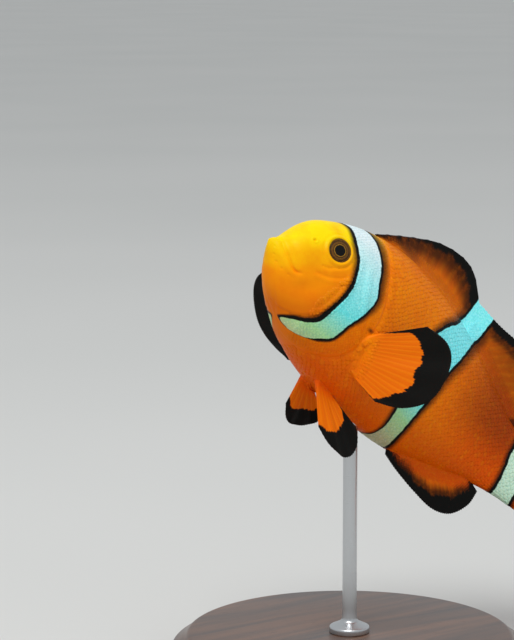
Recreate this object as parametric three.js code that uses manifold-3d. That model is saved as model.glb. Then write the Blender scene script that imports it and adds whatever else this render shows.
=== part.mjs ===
// Common clownfish (Amphiprion ocellaris), adult, life size, as a still model on a display stand.
//
// Millimetres, +Z up, origin at the centre of the underside of the stand's round base.
// The fish heads towards -X with its left side towards -Y, its nose raised and its tail swung left.
// It is first shaped straight, with x running back from the snout along the body's midline,
// y to its right and z up, and is then bent sideways along its length and pitched on the stand.

import * as THREE from "three";
import { mergeVertices } from "three/addons/utils/BufferGeometryUtils.js";
import Module from "manifold-3d";

const wasm = await Module();
wasm.setup();

// ---------------------------------------------------------------- driving dimensions

const bodyLength = 70;        // snout to the root of the tail fin
const gap = 0.3;              // clearance between neighbouring pieces
const sectionFullness = 0.9;  // 1 is an ellipse, less is fuller at the flanks

// Stations from snout to tail root: distance back, height of the back, of the belly, half width.
const stations = [
  { at: 0.0, back: 0.35, belly: -0.3, half: 0.4 },
  { at: 0.3, back: 0.65, belly: -0.85, half: 0.7 },
  { at: 1.5, back: 1.7, belly: -2.4, half: 1.7 },
  { at: 4.2, back: 6.8, belly: -5.3, half: 3.8 },
  { at: 8.1, back: 10.1, belly: -7.7, half: 5.4 },
  { at: 13.3, back: 12.8, belly: -10.0, half: 7.1 },
  { at: 19.6, back: 14.8, belly: -11.4, half: 7.8 },
  { at: 27.3, back: 15.9, belly: -12.1, half: 7.7 },
  { at: 35.7, back: 15.5, belly: -11.9, half: 6.9 },
  { at: 44.8, back: 13.4, belly: -10.7, half: 5.7 },
  { at: 53.9, back: 9.7, belly: -8.0, half: 3.9 },
  { at: 61.6, back: 6.1, belly: -5.7, half: 2.4 },
  { at: bodyLength, back: 5.5, belly: -5.3, half: 1.7 },
];
const ringCount = 30;         // rings along the body
const ringSides = 28;         // corners in each ring

// Sideways bend: the midline's turn to the left, in radians, grows along the body.
const bendStart = 0.4 * bodyLength;         // where the midline runs straight ahead
const bendRate = 0.5 / bodyLength;          // turn per millimetre there
const bendGrowth = 1.74 / bodyLength ** 2;  // how fast the turn tightens towards the tail

const eye = { at: 9.85, up: 5.2, radius: 2.9, sunk: 2.3 };
const plateThickness = 1.6;   // gill cover
const finRoot = 1.1;          // fin thickness at the body
const finEdge = 0.6;          // fin thickness at the margin
const finSink = 1.2;          // how far a fin starts below the skin before it is trimmed

const pitch = THREE.MathUtils.degToRad(42.3);  // nose above the horizontal
const perch = { at: 28, x: 3, y: 0, z: 55 };   // the midline point held above the base, and where

const base = { radius: 30, height: 6, foot: 0.8, moulding: 2.2 };
const rod = { radius: 1.2, collarRadius: 3.4, collarHeight: 1.6, intoBelly: 6, intoBase: 3 };

// ---------------------------------------------------------------- curves

// A smooth function of the station number through evenly numbered values.
function through(values) {
  const last = values.length - 1;
  const pick = (i) => values[Math.min(Math.max(i, 0), last)];
  return (t) => {
    const i = Math.min(Math.max(Math.floor(t), 0), last - 1);
    const u = t - i;
    const [a, b, c, d] = [pick(i - 1), pick(i), pick(i + 1), pick(i + 2)];
    return b + 0.5 * u * (c - a + u * (2 * a - 5 * b + 4 * c - d + u * (3 * (b - c) + d - a)));
  };
}

// The same through [x, z] points of the side view, with t running from 0 to 1.
function sideCurve(points) {
  const x = through(points.map((p) => p[0]));
  const z = through(points.map((p) => p[1]));
  const last = points.length - 1;
  return (t) => [x(t * last), z(t * last)];
}

const lastStation = stations.length - 1;
const profile = {};
for (const key of ["at", "back", "belly", "half"]) profile[key] = through(stations.map((s) => s[key]));

// Station number at a distance back from the snout.
function stationAt(distance) {
  let low = 0;
  let high = lastStation;
  for (let i = 0; i < 40; i++) {
    const middle = (low + high) / 2;
    if (profile.at(middle) < distance) low = middle;
    else high = middle;
  }
  return (low + high) / 2;
}

const backAt = (distance) => profile.back(stationAt(distance));
const bellyAt = (distance) => profile.belly(stationAt(distance));

// Half width of the body at a distance back and a height.
function flankAt(distance, height) {
  const t = stationAt(distance);
  const middle = (profile.back(t) + profile.belly(t)) / 2;
  const reach = (profile.back(t) - profile.belly(t)) / 2;
  const sine = THREE.MathUtils.clamp((height - middle) / reach, -1, 1);
  return profile.half(t) * (1 - sine * sine) ** (sectionFullness / 2);
}

// ---------------------------------------------------------------- solids

function toGeometry(positions, triangles) {
  const geometry = new THREE.BufferGeometry();
  geometry.setAttribute("position", new THREE.Float32BufferAttribute(positions, 3));
  geometry.setIndex(triangles);
  return geometry;
}

function toSolid(geometry) {
  const bare = geometry.clone();
  for (const name of ["normal", "uv"]) bare.deleteAttribute(name);
  const merged = mergeVertices(bare, 1e-4);
  return new wasm.Manifold(new wasm.Mesh({
    numProp: 3,
    vertProperties: new Float32Array(merged.attributes.position.array),
    triVerts: new Uint32Array(merged.index.array),
  }));
}

function fromSolid(solid) {
  const { vertProperties, triVerts } = solid.getMesh();
  return toGeometry(Array.from(vertProperties), Array.from(triVerts));
}

// A closed solid over rings of equal corner count, capped at both ends.
function loft(rings) {
  const sides = rings[0].length;
  const positions = rings.flat(2);
  const triangles = [];
  for (let r = 0; r + 1 < rings.length; r++) {
    for (let i = 0; i < sides; i++) {
      const a = r * sides + i;
      const b = r * sides + (i + 1) % sides;
      triangles.push(a, b, a + sides, b, b + sides, a + sides);
    }
  }
  const lastRing = (rings.length - 1) * sides;
  for (let i = 1; i + 1 < sides; i++) {
    triangles.push(0, i + 1, i, lastRing, lastRing + i, lastRing + i + 1);
  }
  return toGeometry(positions, triangles);
}

// The whole body, swollen by an amount all round, or shrunk where the amount is below zero.
function bodySolid(swell) {
  const rings = [];
  for (let r = 0; r <= ringCount; r++) {
    const t = lastStation * r / ringCount;
    const end = r === 0 ? -swell : (r === ringCount ? swell : 0);
    const middle = (profile.back(t) + profile.belly(t)) / 2;
    const reach = Math.max((profile.back(t) - profile.belly(t)) / 2 + swell, 0.1);
    const half = Math.max(profile.half(t) + swell, 0.1);
    const ring = [];
    for (let i = 0; i < ringSides; i++) {
      const angle = 2 * Math.PI * i / ringSides;
      const across = Math.sign(Math.cos(angle)) * Math.abs(Math.cos(angle)) ** sectionFullness;
      ring.push([profile.at(t) + end, half * across, middle + reach * Math.sin(angle)]);
    }
    rings.push(ring);
  }
  return toSolid(loft(rings));
}

// A prism right through the fish, over an outline of its side view.
function sideCut(outline, from = -30, to = 30) {
  const shape = new THREE.Shape(outline.map(([x, z]) => new THREE.Vector2(x, z)));
  const prism = new THREE.ExtrudeGeometry(shape, { depth: to - from, bevelEnabled: false });
  prism.rotateX(Math.PI / 2);  // the shape's y becomes z, and its depth runs towards -y
  prism.translate(0, to, 0);
  return toSolid(prism);
}

// Points along a side curve, each moved aside by an amount, to the right of the curve's direction.
function sampled(points, count, aside = 0) {
  const curve = sideCurve(points);
  const step = 1e-3;
  return Array.from({ length: count + 1 }, (_, i) => {
    const t = i / count;
    const [x, z] = curve(t);
    const [x0, z0] = curve(Math.max(t - step, 0));
    const [x1, z1] = curve(Math.min(t + step, 1));
    const length = Math.hypot(x1 - x0, z1 - z0);
    return [x + aside * (z1 - z0) / length, z - aside * (x1 - x0) / length];
  });
}

// ---------------------------------------------------------------- head and body pieces

// The rear edge of the gill opening, from above the nape down to below the throat.
const gillEdge = [
  [15, 24], [16.5, 13.5], [18.8, 8.6], [20.7, 4.6], [21.9, 1.4], [22, -0.8], [21.8, -3.3], [21.2, -5.6],
  [20, -7.4], [17, -9.6], [12, -16],
];
// The front edge of the gill cover's plate, from top to bottom.
const coverFront = [[17.9, 8.4], [14.2, 5.6], [12, 0], [11.9, -4.6], [13.6, -8.2], [17, -9.6]];
// The mouth line, from above the snout to its corner and down the cheek to the throat.
const mouthLine = [
  [-1, 5], [0.8, 2], [1.5, 0.6], [2.4, -0.4], [3.7, -1.5], [5, -2], [6, -2.3], [6.6, -4.4], [6.4, -7.2], [5, -12],
];
const stalkCut = 60;          // where the tail stalk parts from the trunk

const headOutline = [...sampled(gillEdge, 14, gap / 2), [-5, -16], [-5, 24]];
const behindOutline = [...sampled(gillEdge, 14, -gap / 2), [90, -16], [90, 24]];

function jawOutline(grown) {
  return [...sampled(mouthLine, 12, -grown), [-3, -12]];
}

function coverOutline(grown) {
  return [...sampled(coverFront, 10, grown), [26, -9.6 - grown], [26, 8.4 + grown]];
}

function eyeBall(side, swell) {
  const ball = new THREE.SphereGeometry(eye.radius + swell, 18, 11);
  ball.rotateX(Math.PI / 2);  // the poles look out sideways
  ball.translate(eye.at, side * (flankAt(eye.at, eye.up) - eye.sunk), eye.up);
  return ball;
}

const body = bodySolid(0);
const bodyWithGap = bodySolid(gap);
const underPlates = bodySolid(-plateThickness);
const underPlatesWithGap = bodySolid(-plateThickness - gap);
const sides = { left: -1, right: 1 };

const headBlock = body.intersect(sideCut(headOutline));
const jaw = headBlock.intersect(sideCut(jawOutline(0)));
let head = headBlock.subtract(sideCut(jawOutline(gap)));
const plateSlot = sideCut(coverOutline(gap)).subtract(underPlatesWithGap);
head = head.subtract(plateSlot);
for (const side of Object.values(sides)) head = head.subtract(toSolid(eyeBall(side, gap)));

function gillCover(side) {
  const half = side < 0 ? [-30, -gap] : [gap, 30];
  return headBlock.subtract(underPlates).intersect(sideCut(coverOutline(0), ...half));
}

const behindHead = body.intersect(sideCut(behindOutline));
const bodySlab = (from, to) => sideCut([[from, -30], [to, -30], [to, 30], [from, 30]]);
const trunk = behindHead.intersect(bodySlab(0, stalkCut - gap / 2));
const tailStalk = behindHead.intersect(bodySlab(stalkCut + gap / 2, 80));

// ---------------------------------------------------------------- fins

// A thin closed solid over a grid of points, rays one way and steps along the rays the other.
function finSolid(grid) {
  const rays = grid.length;
  const steps = grid[0].length;
  const front = [];
  const rear = [];
  for (let i = 0; i < rays; i++) {
    for (let j = 0; j < steps; j++) {
      const across = grid[Math.min(i + 1, rays - 1)][j].clone().sub(grid[Math.max(i - 1, 0)][j]);
      const along = grid[i][Math.min(j + 1, steps - 1)].clone().sub(grid[i][Math.max(j - 1, 0)]);
      const normal = across.cross(along).normalize();
      const thickness = THREE.MathUtils.lerp(finRoot, finEdge, j / (steps - 1));
      front.push(grid[i][j].clone().addScaledVector(normal, thickness / 2));
      rear.push(grid[i][j].clone().addScaledVector(normal, -thickness / 2));
    }
  }
  const triangles = [];
  const offset = front.length;
  const quad = (a, b, c, d) => triangles.push(a, b, c, a, c, d);
  for (let i = 0; i + 1 < rays; i++) {
    for (let j = 0; j + 1 < steps; j++) {
      const a = i * steps + j;
      quad(a, a + steps, a + steps + 1, a + 1);
      quad(offset + a, offset + a + 1, offset + a + steps + 1, offset + a + steps);
    }
  }
  const rim = [];
  for (let i = 0; i < rays; i++) rim.push(i * steps);
  for (let j = 1; j < steps; j++) rim.push((rays - 1) * steps + j);
  for (let i = rays - 2; i >= 0; i--) rim.push(i * steps + steps - 1);
  for (let j = steps - 2; j > 0; j--) rim.push(j);
  rim.forEach((a, k) => {
    const b = rim[(k + 1) % rim.length];
    quad(b, a, offset + a, offset + b);
  });
  const positions = [...front, ...rear].flatMap((p) => [p.x, p.y, p.z]);
  let solid = toSolid(toGeometry(positions, triangles));
  if (solid.volume() < 0) {
    const turned = [];
    for (let k = 0; k < triangles.length; k += 3) turned.push(triangles[k], triangles[k + 2], triangles[k + 1]);
    solid = toSolid(toGeometry(positions, turned));
  }
  return solid;
}

// A fin on the midline, between a root line and an edge line that both run the same way.
function medianFin(rootAt, edgePoints, rays, steps) {
  const edgeAt = sideCurve(edgePoints);
  const grid = [];
  for (let i = 0; i < rays; i++) {
    const t = i / (rays - 1);
    const [rootX, rootZ] = rootAt(t);
    const [edgeX, edgeZ] = edgeAt(t);
    const ray = [];
    for (let j = 0; j < steps; j++) {
      const v = j / (steps - 1);
      ray.push(new THREE.Vector3(
        THREE.MathUtils.lerp(rootX, edgeX, v), 0, THREE.MathUtils.lerp(rootZ, edgeZ, v)));
    }
    grid.push(ray);
  }
  return finSolid(grid).subtract(bodyWithGap);
}

const rootOnBack = (from, to) => (t) => {
  const x = THREE.MathUtils.lerp(from, to, t);
  return [x, backAt(x) - finSink];
};
const rootOnBelly = (from, to) => (t) => {
  const x = THREE.MathUtils.lerp(from, to, t);
  return [x, bellyAt(x) + finSink];
};

const spinyEdge = [[17, 14.4], [20, 16.6], [24.6, 19.6], [29.4, 22.2], [34.4, 23.4], [38.6, 22.8], [41.7, 19.9]];
const softEdge = [[42.1, 19.6], [48, 19.2], [54, 19.2], [59.8, 18.4], [65, 15.8], [67.2, 12.2], [65, 8.2]];
const analEdge = [[43.6, -11.8], [47.2, -12.7], [52, -13.6], [56.5, -13.9], [59.6, -12.6], [61.3, -9.6], [61.4, -6.6]];
const tailEdgeUpper = [[70.6, 6.4], [74.4, 9], [79.8, 10.9], [84.4, 10.8], [87.6, 8], [88.8, 4]];
const tailEdge = [
  ...tailEdgeUpper.map(([x, z]) => [x, -z]), [88.9, 0], ...tailEdgeUpper.toReversed(),
];

const tailRoot = (t) => [bodyLength - finSink, THREE.MathUtils.lerp(-5, 5, t)];

// A paired fin: rays fan from a root on the flank or belly. Directions are [back, right, up] of
// the straight fish, given for the middle ray and for the way from the last ray to the first.
function pairedFin({ rootTop, rootBottom, outward, across, lengths, angles, cup, rays, steps }) {
  const middle = new THREE.Vector3(...outward).normalize();
  const cross = new THREE.Vector3(...across);
  cross.addScaledVector(middle, -cross.dot(middle)).normalize();
  const normal = middle.clone().cross(cross);
  const lengthAt = through(lengths);
  const angleAt = through(angles);
  const grid = [];
  for (let i = 0; i < rays; i++) {
    const t = i / (rays - 1);
    const k = t * (lengths.length - 1);
    const angle = THREE.MathUtils.degToRad(angleAt(k));
    const direction = middle.clone().multiplyScalar(Math.cos(angle)).addScaledVector(cross, Math.sin(angle));
    const root = new THREE.Vector3(...rootTop).lerp(new THREE.Vector3(...rootBottom), t);
    const ray = [];
    for (let j = 0; j < steps; j++) {
      const reach = THREE.MathUtils.lerp(-finSink, lengthAt(k), j / (steps - 1));
      const rise = cup * Math.max(reach, 0) ** 2 / lengthAt(k);
      ray.push(root.clone().addScaledVector(direction, reach).addScaledVector(normal, rise));
    }
    grid.push(ray);
  }
  return finSolid(grid).subtract(bodyWithGap);
}

const pectoralRoot = { topX: 22.3, topZ: -1.3, bottomX: 25.6, bottomZ: -7.8 };
const onFlank = (x, z, side) => [x, side * (flankAt(x, z) - 0.3), z];

function pectoralFin(side, outward, across, lengths, angles, cup) {
  const { topX, topZ, bottomX, bottomZ } = pectoralRoot;
  const rootTop = onFlank(topX, topZ, side);
  const rootBottom = onFlank(bottomX, bottomZ, side);
  return pairedFin({ rootTop, rootBottom, outward, across, lengths, angles, cup, rays: 15, steps: 6 });
}

const pelvicRoot = { frontX: 22.2, rearX: 26, y: 1.8, z: -11.2 };

function pelvicFin(side, outward, lengths, angles) {
  const { frontX, rearX, y, z } = pelvicRoot;
  return pairedFin({
    rootTop: [frontX, side * y, z], rootBottom: [rearX, side * y, z - 0.3], outward,
    across: [-0.75, side * -0.1, -0.55], lengths, angles, cup: 0, rays: 9, steps: 6,
  });
}

// ---------------------------------------------------------------- bend, colours and assembly

// Midline of the bent fish, tabled at even steps from the perch point.
const midlineStep = 0.5;
const turnAt = (x) => bendRate * (x - bendStart) + bendGrowth * (x - bendStart) ** 2 / 2;

function midlineAt(x) {
  const count = Math.max(1, Math.round(Math.abs(x - perch.at) / midlineStep));
  const step = (x - perch.at) / count;
  let back = 0;
  let left = 0;
  for (let i = 0; i < count; i++) {
    const turn = turnAt(perch.at + (i + 0.5) * step);
    back += Math.cos(turn) * step;
    left += Math.sin(turn) * step;
  }
  return { back, left, turn: turnAt(x) };
}

// Bends a straight-fish geometry, leaving it measured from the perch point.
function bend(geometry) {
  const place = geometry.attributes.position;
  for (let i = 0; i < place.count; i++) {
    const y = place.getY(i);
    const { back, left, turn } = midlineAt(place.getX(i));
    place.setXYZ(i, back + y * Math.sin(turn), y * Math.cos(turn) - left, place.getZ(i));
  }
  return geometry;
}

const colours = {
  headOrange: new THREE.MeshStandardMaterial({ color: 0xffa60f, roughness: 0.42 }),
  bodyOrange: new THREE.MeshStandardMaterial({ color: 0xe8690c, roughness: 0.42 }),
  finOrange: new THREE.MeshStandardMaterial({ color: 0xf0780f, roughness: 0.5 }),
  eyeDark: new THREE.MeshStandardMaterial({ color: 0x2a1c10, roughness: 0.12 }),
  baseWood: new THREE.MeshStandardMaterial({ color: 0x3b2417, roughness: 0.45 }),
  rodSteel: new THREE.MeshStandardMaterial({ color: 0xb9bcc0, roughness: 0.3, metalness: 1 }),
};

function piece(name, geometry, material) {
  geometry.computeVertexNormals();
  const mesh = new THREE.Mesh(geometry, material);
  mesh.name = name;
  return mesh;
}

const fish = new THREE.Group();
fish.position.set(perch.x, perch.y, perch.z);
fish.rotation.y = pitch;
fish.updateMatrixWorld();
const addBent = (name, solid, material) => fish.add(piece(name, bend(fromSolid(solid)), material));

// The rod runs straight up from the base, so its seat in the belly is cut after the bend.
const rodTop = perch.z + bellyRise();
const rodBottom = base.height - rod.intoBase + gap;

// Height of the belly over the rod's axis, measured from the perch point.
function bellyRise() {
  let lowest = 0;
  for (let x = perch.at; x < 50; x += 0.1) {
    const back = midlineAt(x).back;
    const across = perch.x + back * Math.cos(pitch) + bellyAt(x) * Math.sin(pitch);
    if (across > 0) break;
    lowest = bellyAt(x) * Math.cos(pitch) - back * Math.sin(pitch);
  }
  return lowest;
}

function rodSeat() {
  const length = rod.intoBelly + gap + 10;
  const seat = new THREE.CylinderGeometry(rod.radius + gap, rod.radius + gap, length, 20);
  seat.rotateX(Math.PI / 2);
  seat.translate(0, 0, rodTop + rod.intoBelly + gap - length / 2);
  seat.applyMatrix4(fish.matrixWorld.clone().invert());
  return toSolid(seat);
}

addBent("head", head, colours.headOrange);
addBent("lower_jaw", jaw, colours.headOrange);
for (const [name, side] of Object.entries(sides)) {
  addBent(`gill_cover_${name}`, gillCover(side), colours.headOrange);
  addBent(`eye_${name}`, toSolid(eyeBall(side, 0)), colours.eyeDark);
}
const bentTrunk = toSolid(bend(fromSolid(trunk))).subtract(rodSeat());
fish.add(piece("trunk", fromSolid(bentTrunk), colours.bodyOrange));
addBent("tail_stalk", tailStalk, colours.bodyOrange);

addBent("dorsal_fin_spiny", medianFin(rootOnBack(17.8, 41.3), spinyEdge, 16, 4), colours.finOrange);
addBent("dorsal_fin_soft", medianFin(rootOnBack(42.1, 60.6), softEdge, 15, 5), colours.finOrange);
addBent("anal_fin", medianFin(rootOnBelly(43.2, 60), analEdge, 14, 4), colours.finOrange);
addBent("caudal_fin", medianFin(tailRoot, tailEdge, 19, 8), colours.finOrange);

// The left pectoral is spread back and out; the right one is at the front of its stroke.
addBent("pectoral_fin_left", pectoralFin(
  sides.left, [0.42, -0.8, 0.4], [-0.37, 0.11, 0.93],
  [9.9, 13.8, 15.4, 15.7, 14.8, 11.3, 6.2], [9, 0, -7, -15, -26, -35, -44], 0.05), colours.finOrange);
addBent("pectoral_fin_right", pectoralFin(
  sides.right, [-0.46, 0.82, 0.44], [-0.37, -0.11, 0.93],
  [13, 14.4, 13.9, 12.1, 9.8, 7.1, 4.9], [-3, -10, -16, -25, -31, -34, -34], -0.05), colours.finOrange);
addBent("pelvic_fin_left", pelvicFin(
  sides.left, [0.64, -0.38, -0.64], [8.4, 11.8, 12.8, 11.6, 7.7], [13, 3, -4, -14, -28]), colours.finOrange);
addBent("pelvic_fin_right", pelvicFin(
  sides.right, [0.66, 0.4, -0.62], [5.9, 8.2, 8.7, 8.5, 7.1], [20, 14, 2, -14, -25]), colours.finOrange);

// ---------------------------------------------------------------- display stand

function standBase() {
  const { radius, height, foot, moulding } = base;
  const hole = rod.radius + gap;
  const outline = [
    [0, 0],
    [radius - foot, 0],
    [radius, foot],
    [radius, height - moulding],
    [radius - 0.3 * moulding, height - 0.7 * moulding],
    [radius - moulding, height - 0.3 * moulding],
    [radius - 1.3 * moulding, height],
    [hole, height],
    [hole, height - rod.intoBase],
    [0, height - rod.intoBase],
  ].map(([r, z]) => new THREE.Vector2(r, z));
  return new THREE.LatheGeometry(outline, 40).rotateX(Math.PI / 2);
}

function standRod() {
  const seat = base.height + gap;
  const { radius, collarRadius, collarHeight } = rod;
  const outline = [
    [0, rodBottom],
    [radius, rodBottom],
    [radius, seat],
    [collarRadius, seat],
    [collarRadius, seat + 0.6 * collarHeight],
    [collarRadius - 0.4 * collarHeight, seat + collarHeight],
    [radius, seat + collarHeight],
    [radius, rodTop + rod.intoBelly],
    [0, rodTop + rod.intoBelly],
  ].map(([r, z]) => new THREE.Vector2(r, z));
  return new THREE.LatheGeometry(outline, 24).rotateX(Math.PI / 2);
}

const model = new THREE.Group();
model.add(fish);
model.add(piece("stand_base", fromSolid(toSolid(standBase())), colours.baseWood));
model.add(piece("stand_rod", fromSolid(toSolid(standRod())), colours.rodSteel));

export default model;
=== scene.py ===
"""Looks of a life-size clownfish model: one skin, its coat of scales, the eyes, the stand and a studio.

The fish is shaped straight first, in millimetres: x runs back from the snout along the body's midline,
y to its right and z up. It is then bent sideways along its length and pitched on the stand, in the
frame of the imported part, whose origin is the centre of the underside of the stand's base.

Markings, folds and scales are laid out on the unwrap of one flank, where a place is its distance back
from the snout and its girth: the length round the body up from the flank's middle, less than 0 below it.
"""

import math

import bpy
import numpy as np
from mathutils import Matrix, Vector
from mathutils.kdtree import KDTree


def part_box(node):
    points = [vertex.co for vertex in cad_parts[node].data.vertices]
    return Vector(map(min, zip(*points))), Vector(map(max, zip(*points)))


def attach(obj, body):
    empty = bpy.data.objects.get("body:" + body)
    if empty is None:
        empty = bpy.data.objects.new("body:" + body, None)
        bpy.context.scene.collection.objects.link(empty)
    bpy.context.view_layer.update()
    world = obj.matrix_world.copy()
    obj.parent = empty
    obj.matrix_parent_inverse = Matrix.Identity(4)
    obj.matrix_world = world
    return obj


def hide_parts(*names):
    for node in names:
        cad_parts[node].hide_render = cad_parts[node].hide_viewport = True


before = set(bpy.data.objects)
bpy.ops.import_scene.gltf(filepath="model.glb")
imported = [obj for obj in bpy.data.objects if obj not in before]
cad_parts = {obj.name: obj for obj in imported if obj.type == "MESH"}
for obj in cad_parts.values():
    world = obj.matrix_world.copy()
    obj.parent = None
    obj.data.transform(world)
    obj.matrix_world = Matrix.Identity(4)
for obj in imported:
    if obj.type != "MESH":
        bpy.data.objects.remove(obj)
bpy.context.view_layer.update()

bl_info = {
    "name": "Clownfish Looks",
    "version": (1, 1, 0),
    "blender": (4, 5, 0),
    "location": "View3D > Sidebar > Clownfish",
    "description": "Builds the skin, scales, eyes, stand and studio of a clownfish model",
    "category": "Object",
}

MM = 0.001

# ------------------------------------------------------------------ shape of the straight fish, in mm

BODY_LENGTH = 70.0
SECTION_FULLNESS = 0.9
# Stations from snout to tail root: distance back, height of the back, of the belly, half width.
STATIONS = np.array((
    (0.0, 0.35, -0.3, 0.4),
    (0.3, 0.65, -0.85, 0.7),
    (1.5, 1.7, -2.4, 1.7),
    (4.2, 6.8, -5.3, 3.8),
    (8.1, 10.1, -7.7, 5.4),
    (13.3, 12.8, -10.0, 7.1),
    (19.6, 14.8, -11.4, 7.8),
    (27.3, 15.9, -12.1, 7.7),
    (35.7, 15.5, -11.9, 6.9),
    (44.8, 13.4, -10.7, 5.7),
    (53.9, 9.7, -8.0, 3.9),
    (61.6, 6.1, -5.7, 2.4),
    (BODY_LENGTH, 5.5, -5.3, 1.7),
))
NOSE_BULGE = 0.15      # how far the tip of the snout stands out before the first station

BEND_START = 0.4 * BODY_LENGTH          # where the midline isn't turned
BEND_RATE = 0.5 / BODY_LENGTH           # radians that it turns there in a mm
BEND_GROWTH = 1.74 / BODY_LENGTH**2     # how much more it turns with each mm

PERCH_AT = 28.0        # the midline point that the stand holds
PERCH_PLACE = (3.0, 0.0, 55.0)      # where that point stands
PITCH = math.radians(42.3)          # how far the nose is raised

EYE_AT, EYE_UP, EYE_RADIUS, EYE_SUNK = 9.85, 5.2, 2.9, 2.3
EYE_LOOKS = (-0.44, 0.88, 0.12)         # the way the right eye looks
EYE_OPENING = 1.95     # radius of the hole in the skin
EYE_SHOWN = 2.1        # height of the skin over the eyeball's centre
LEFT, RIGHT = -1, 1


def through(values):
    """A smooth function of the station number through evenly numbered values."""
    values = np.asarray(values, float)
    last = len(values) - 1

    def at(t):
        t = np.asarray(t, float)
        i = np.clip(np.floor(t).astype(int), 0, last - 1)
        u = t - i
        a, b, c, d = (values[np.clip(i + k, 0, last)] for k in (-1, 0, 1, 2))
        return b + 0.5 * u * (c - a + u * (2 * a - 5 * b + 4 * c - d + u * (3 * (b - c) + d - a)))

    return at


station_x, station_back, station_belly, station_half = (through(column) for column in STATIONS.T)
LAST_STATION = len(STATIONS) - 1
STATION_TABLE = np.linspace(0, LAST_STATION, 2401)


def station_at(x):
    """Station number at a distance back from the snout."""
    return np.interp(x, station_x(STATION_TABLE), STATION_TABLE)


def smoothstep(low, high, value):
    """0 up to low, 1 from high on, and an even rise between."""
    t = np.clip((value - low) / (high - low), 0, 1)
    return t * t * (3 - 2 * t)


def hump(distance, width):
    """A soft ridge across a line: 1 on it, fading to nothing a few widths away."""
    return np.exp(-((distance / width) ** 2))


def unit(vectors):
    """Vectors of length 1."""
    length = np.linalg.norm(vectors, axis=-1, keepdims=True)
    return vectors / np.maximum(length, 1e-9)


def between(table, row, column):
    """Values of a table at places between its entries."""
    row = np.clip(row, 0, table.shape[0] - 1.001)
    column = np.clip(column, 0, table.shape[1] - 1.001)
    i, j = row.astype(int), column.astype(int)
    u, v = row - i, column - j
    if table.ndim == 3:
        u, v = u[..., None], v[..., None]
    near = table[i, j] * (1 - v) + table[i, j + 1] * v
    far = table[i + 1, j] * (1 - v) + table[i + 1, j + 1] * v
    return near * (1 - u) + far * u


def ring_point(t, angle, swell=0.0):
    """Points of the plain body, by station number and angle round the section, up from the right side."""
    t, angle = np.broadcast_arrays(np.asarray(t, float), np.asarray(angle, float))
    held = np.clip(t, 0, LAST_STATION)
    back, belly = station_back(held), station_belly(held)
    reach = (back - belly) / 2 + swell
    half = station_half(held) + swell
    tip = np.clip(1 + np.minimum(t, 0), 0, 1)      # closes the snout before the first station
    x = station_x(held) - swell * (t <= 0) - NOSE_BULGE * (1 - tip**2)
    cosine = np.cos(angle)
    y = half * tip * np.sign(cosine) * np.abs(cosine) ** SECTION_FULLNESS
    z = (back + belly) / 2 + reach * tip * np.sin(angle)
    return np.stack([x, y, z], -1)


def flank_at(x, z):
    """Half width of the body at a distance back and a height."""
    t = station_at(x)
    back, belly = station_back(t), station_belly(t)
    sine = np.clip((z - (back + belly) / 2) / ((back - belly) / 2), -1, 1)
    return station_half(t) * (1 - sine**2) ** (SECTION_FULLNESS / 2)


# ------------------------------------------------------------------ unwrap of a flank


def girth_table():
    """Girth over station number and angle round the right flank."""
    t = np.linspace(0, LAST_STATION, 361)
    angle = np.linspace(-math.pi / 2, math.pi / 2, 241)
    points = ring_point(t[:, None], angle[None, :])
    steps = np.linalg.norm(np.diff(points[..., 1:], axis=1), axis=-1)
    length = np.concatenate([np.zeros((len(t), 1)), np.cumsum(steps, 1)], 1)
    return length - length[:, len(angle) // 2][:, None]


GIRTH = girth_table()


def girth_row(t):
    return t * (len(GIRTH) - 1) / LAST_STATION


def girth_of(points):
    """Girth of each point of the body; above the back and below the belly it runs on over the fins."""
    x, y, z = points[..., 0], points[..., 1], points[..., 2]
    t = station_at(x)
    back, belly = station_back(t), station_belly(t)
    sine = (z - (back + belly) / 2) / ((back - belly) / 2)
    cosine = (np.abs(y) / station_half(t)) ** (1 / SECTION_FULLNESS)
    angle = np.arctan2(sine, cosine)
    column = (angle / math.pi + 0.5) * (GIRTH.shape[1] - 1)
    return between(GIRTH, girth_row(t), column) + np.maximum(z - back, 0) - np.maximum(belly - z, 0)


def angle_at(t, girth):
    """Angle on the right flank at a station number and a girth."""
    angles = np.linspace(-math.pi / 2, math.pi / 2, GIRTH.shape[1])
    rows = np.round(girth_row(t)).astype(int)
    found = np.empty(len(t))
    for i in np.unique(rows):
        own = rows == i
        found[own] = np.interp(girth[own], GIRTH[i], angles)
    return found


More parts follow.
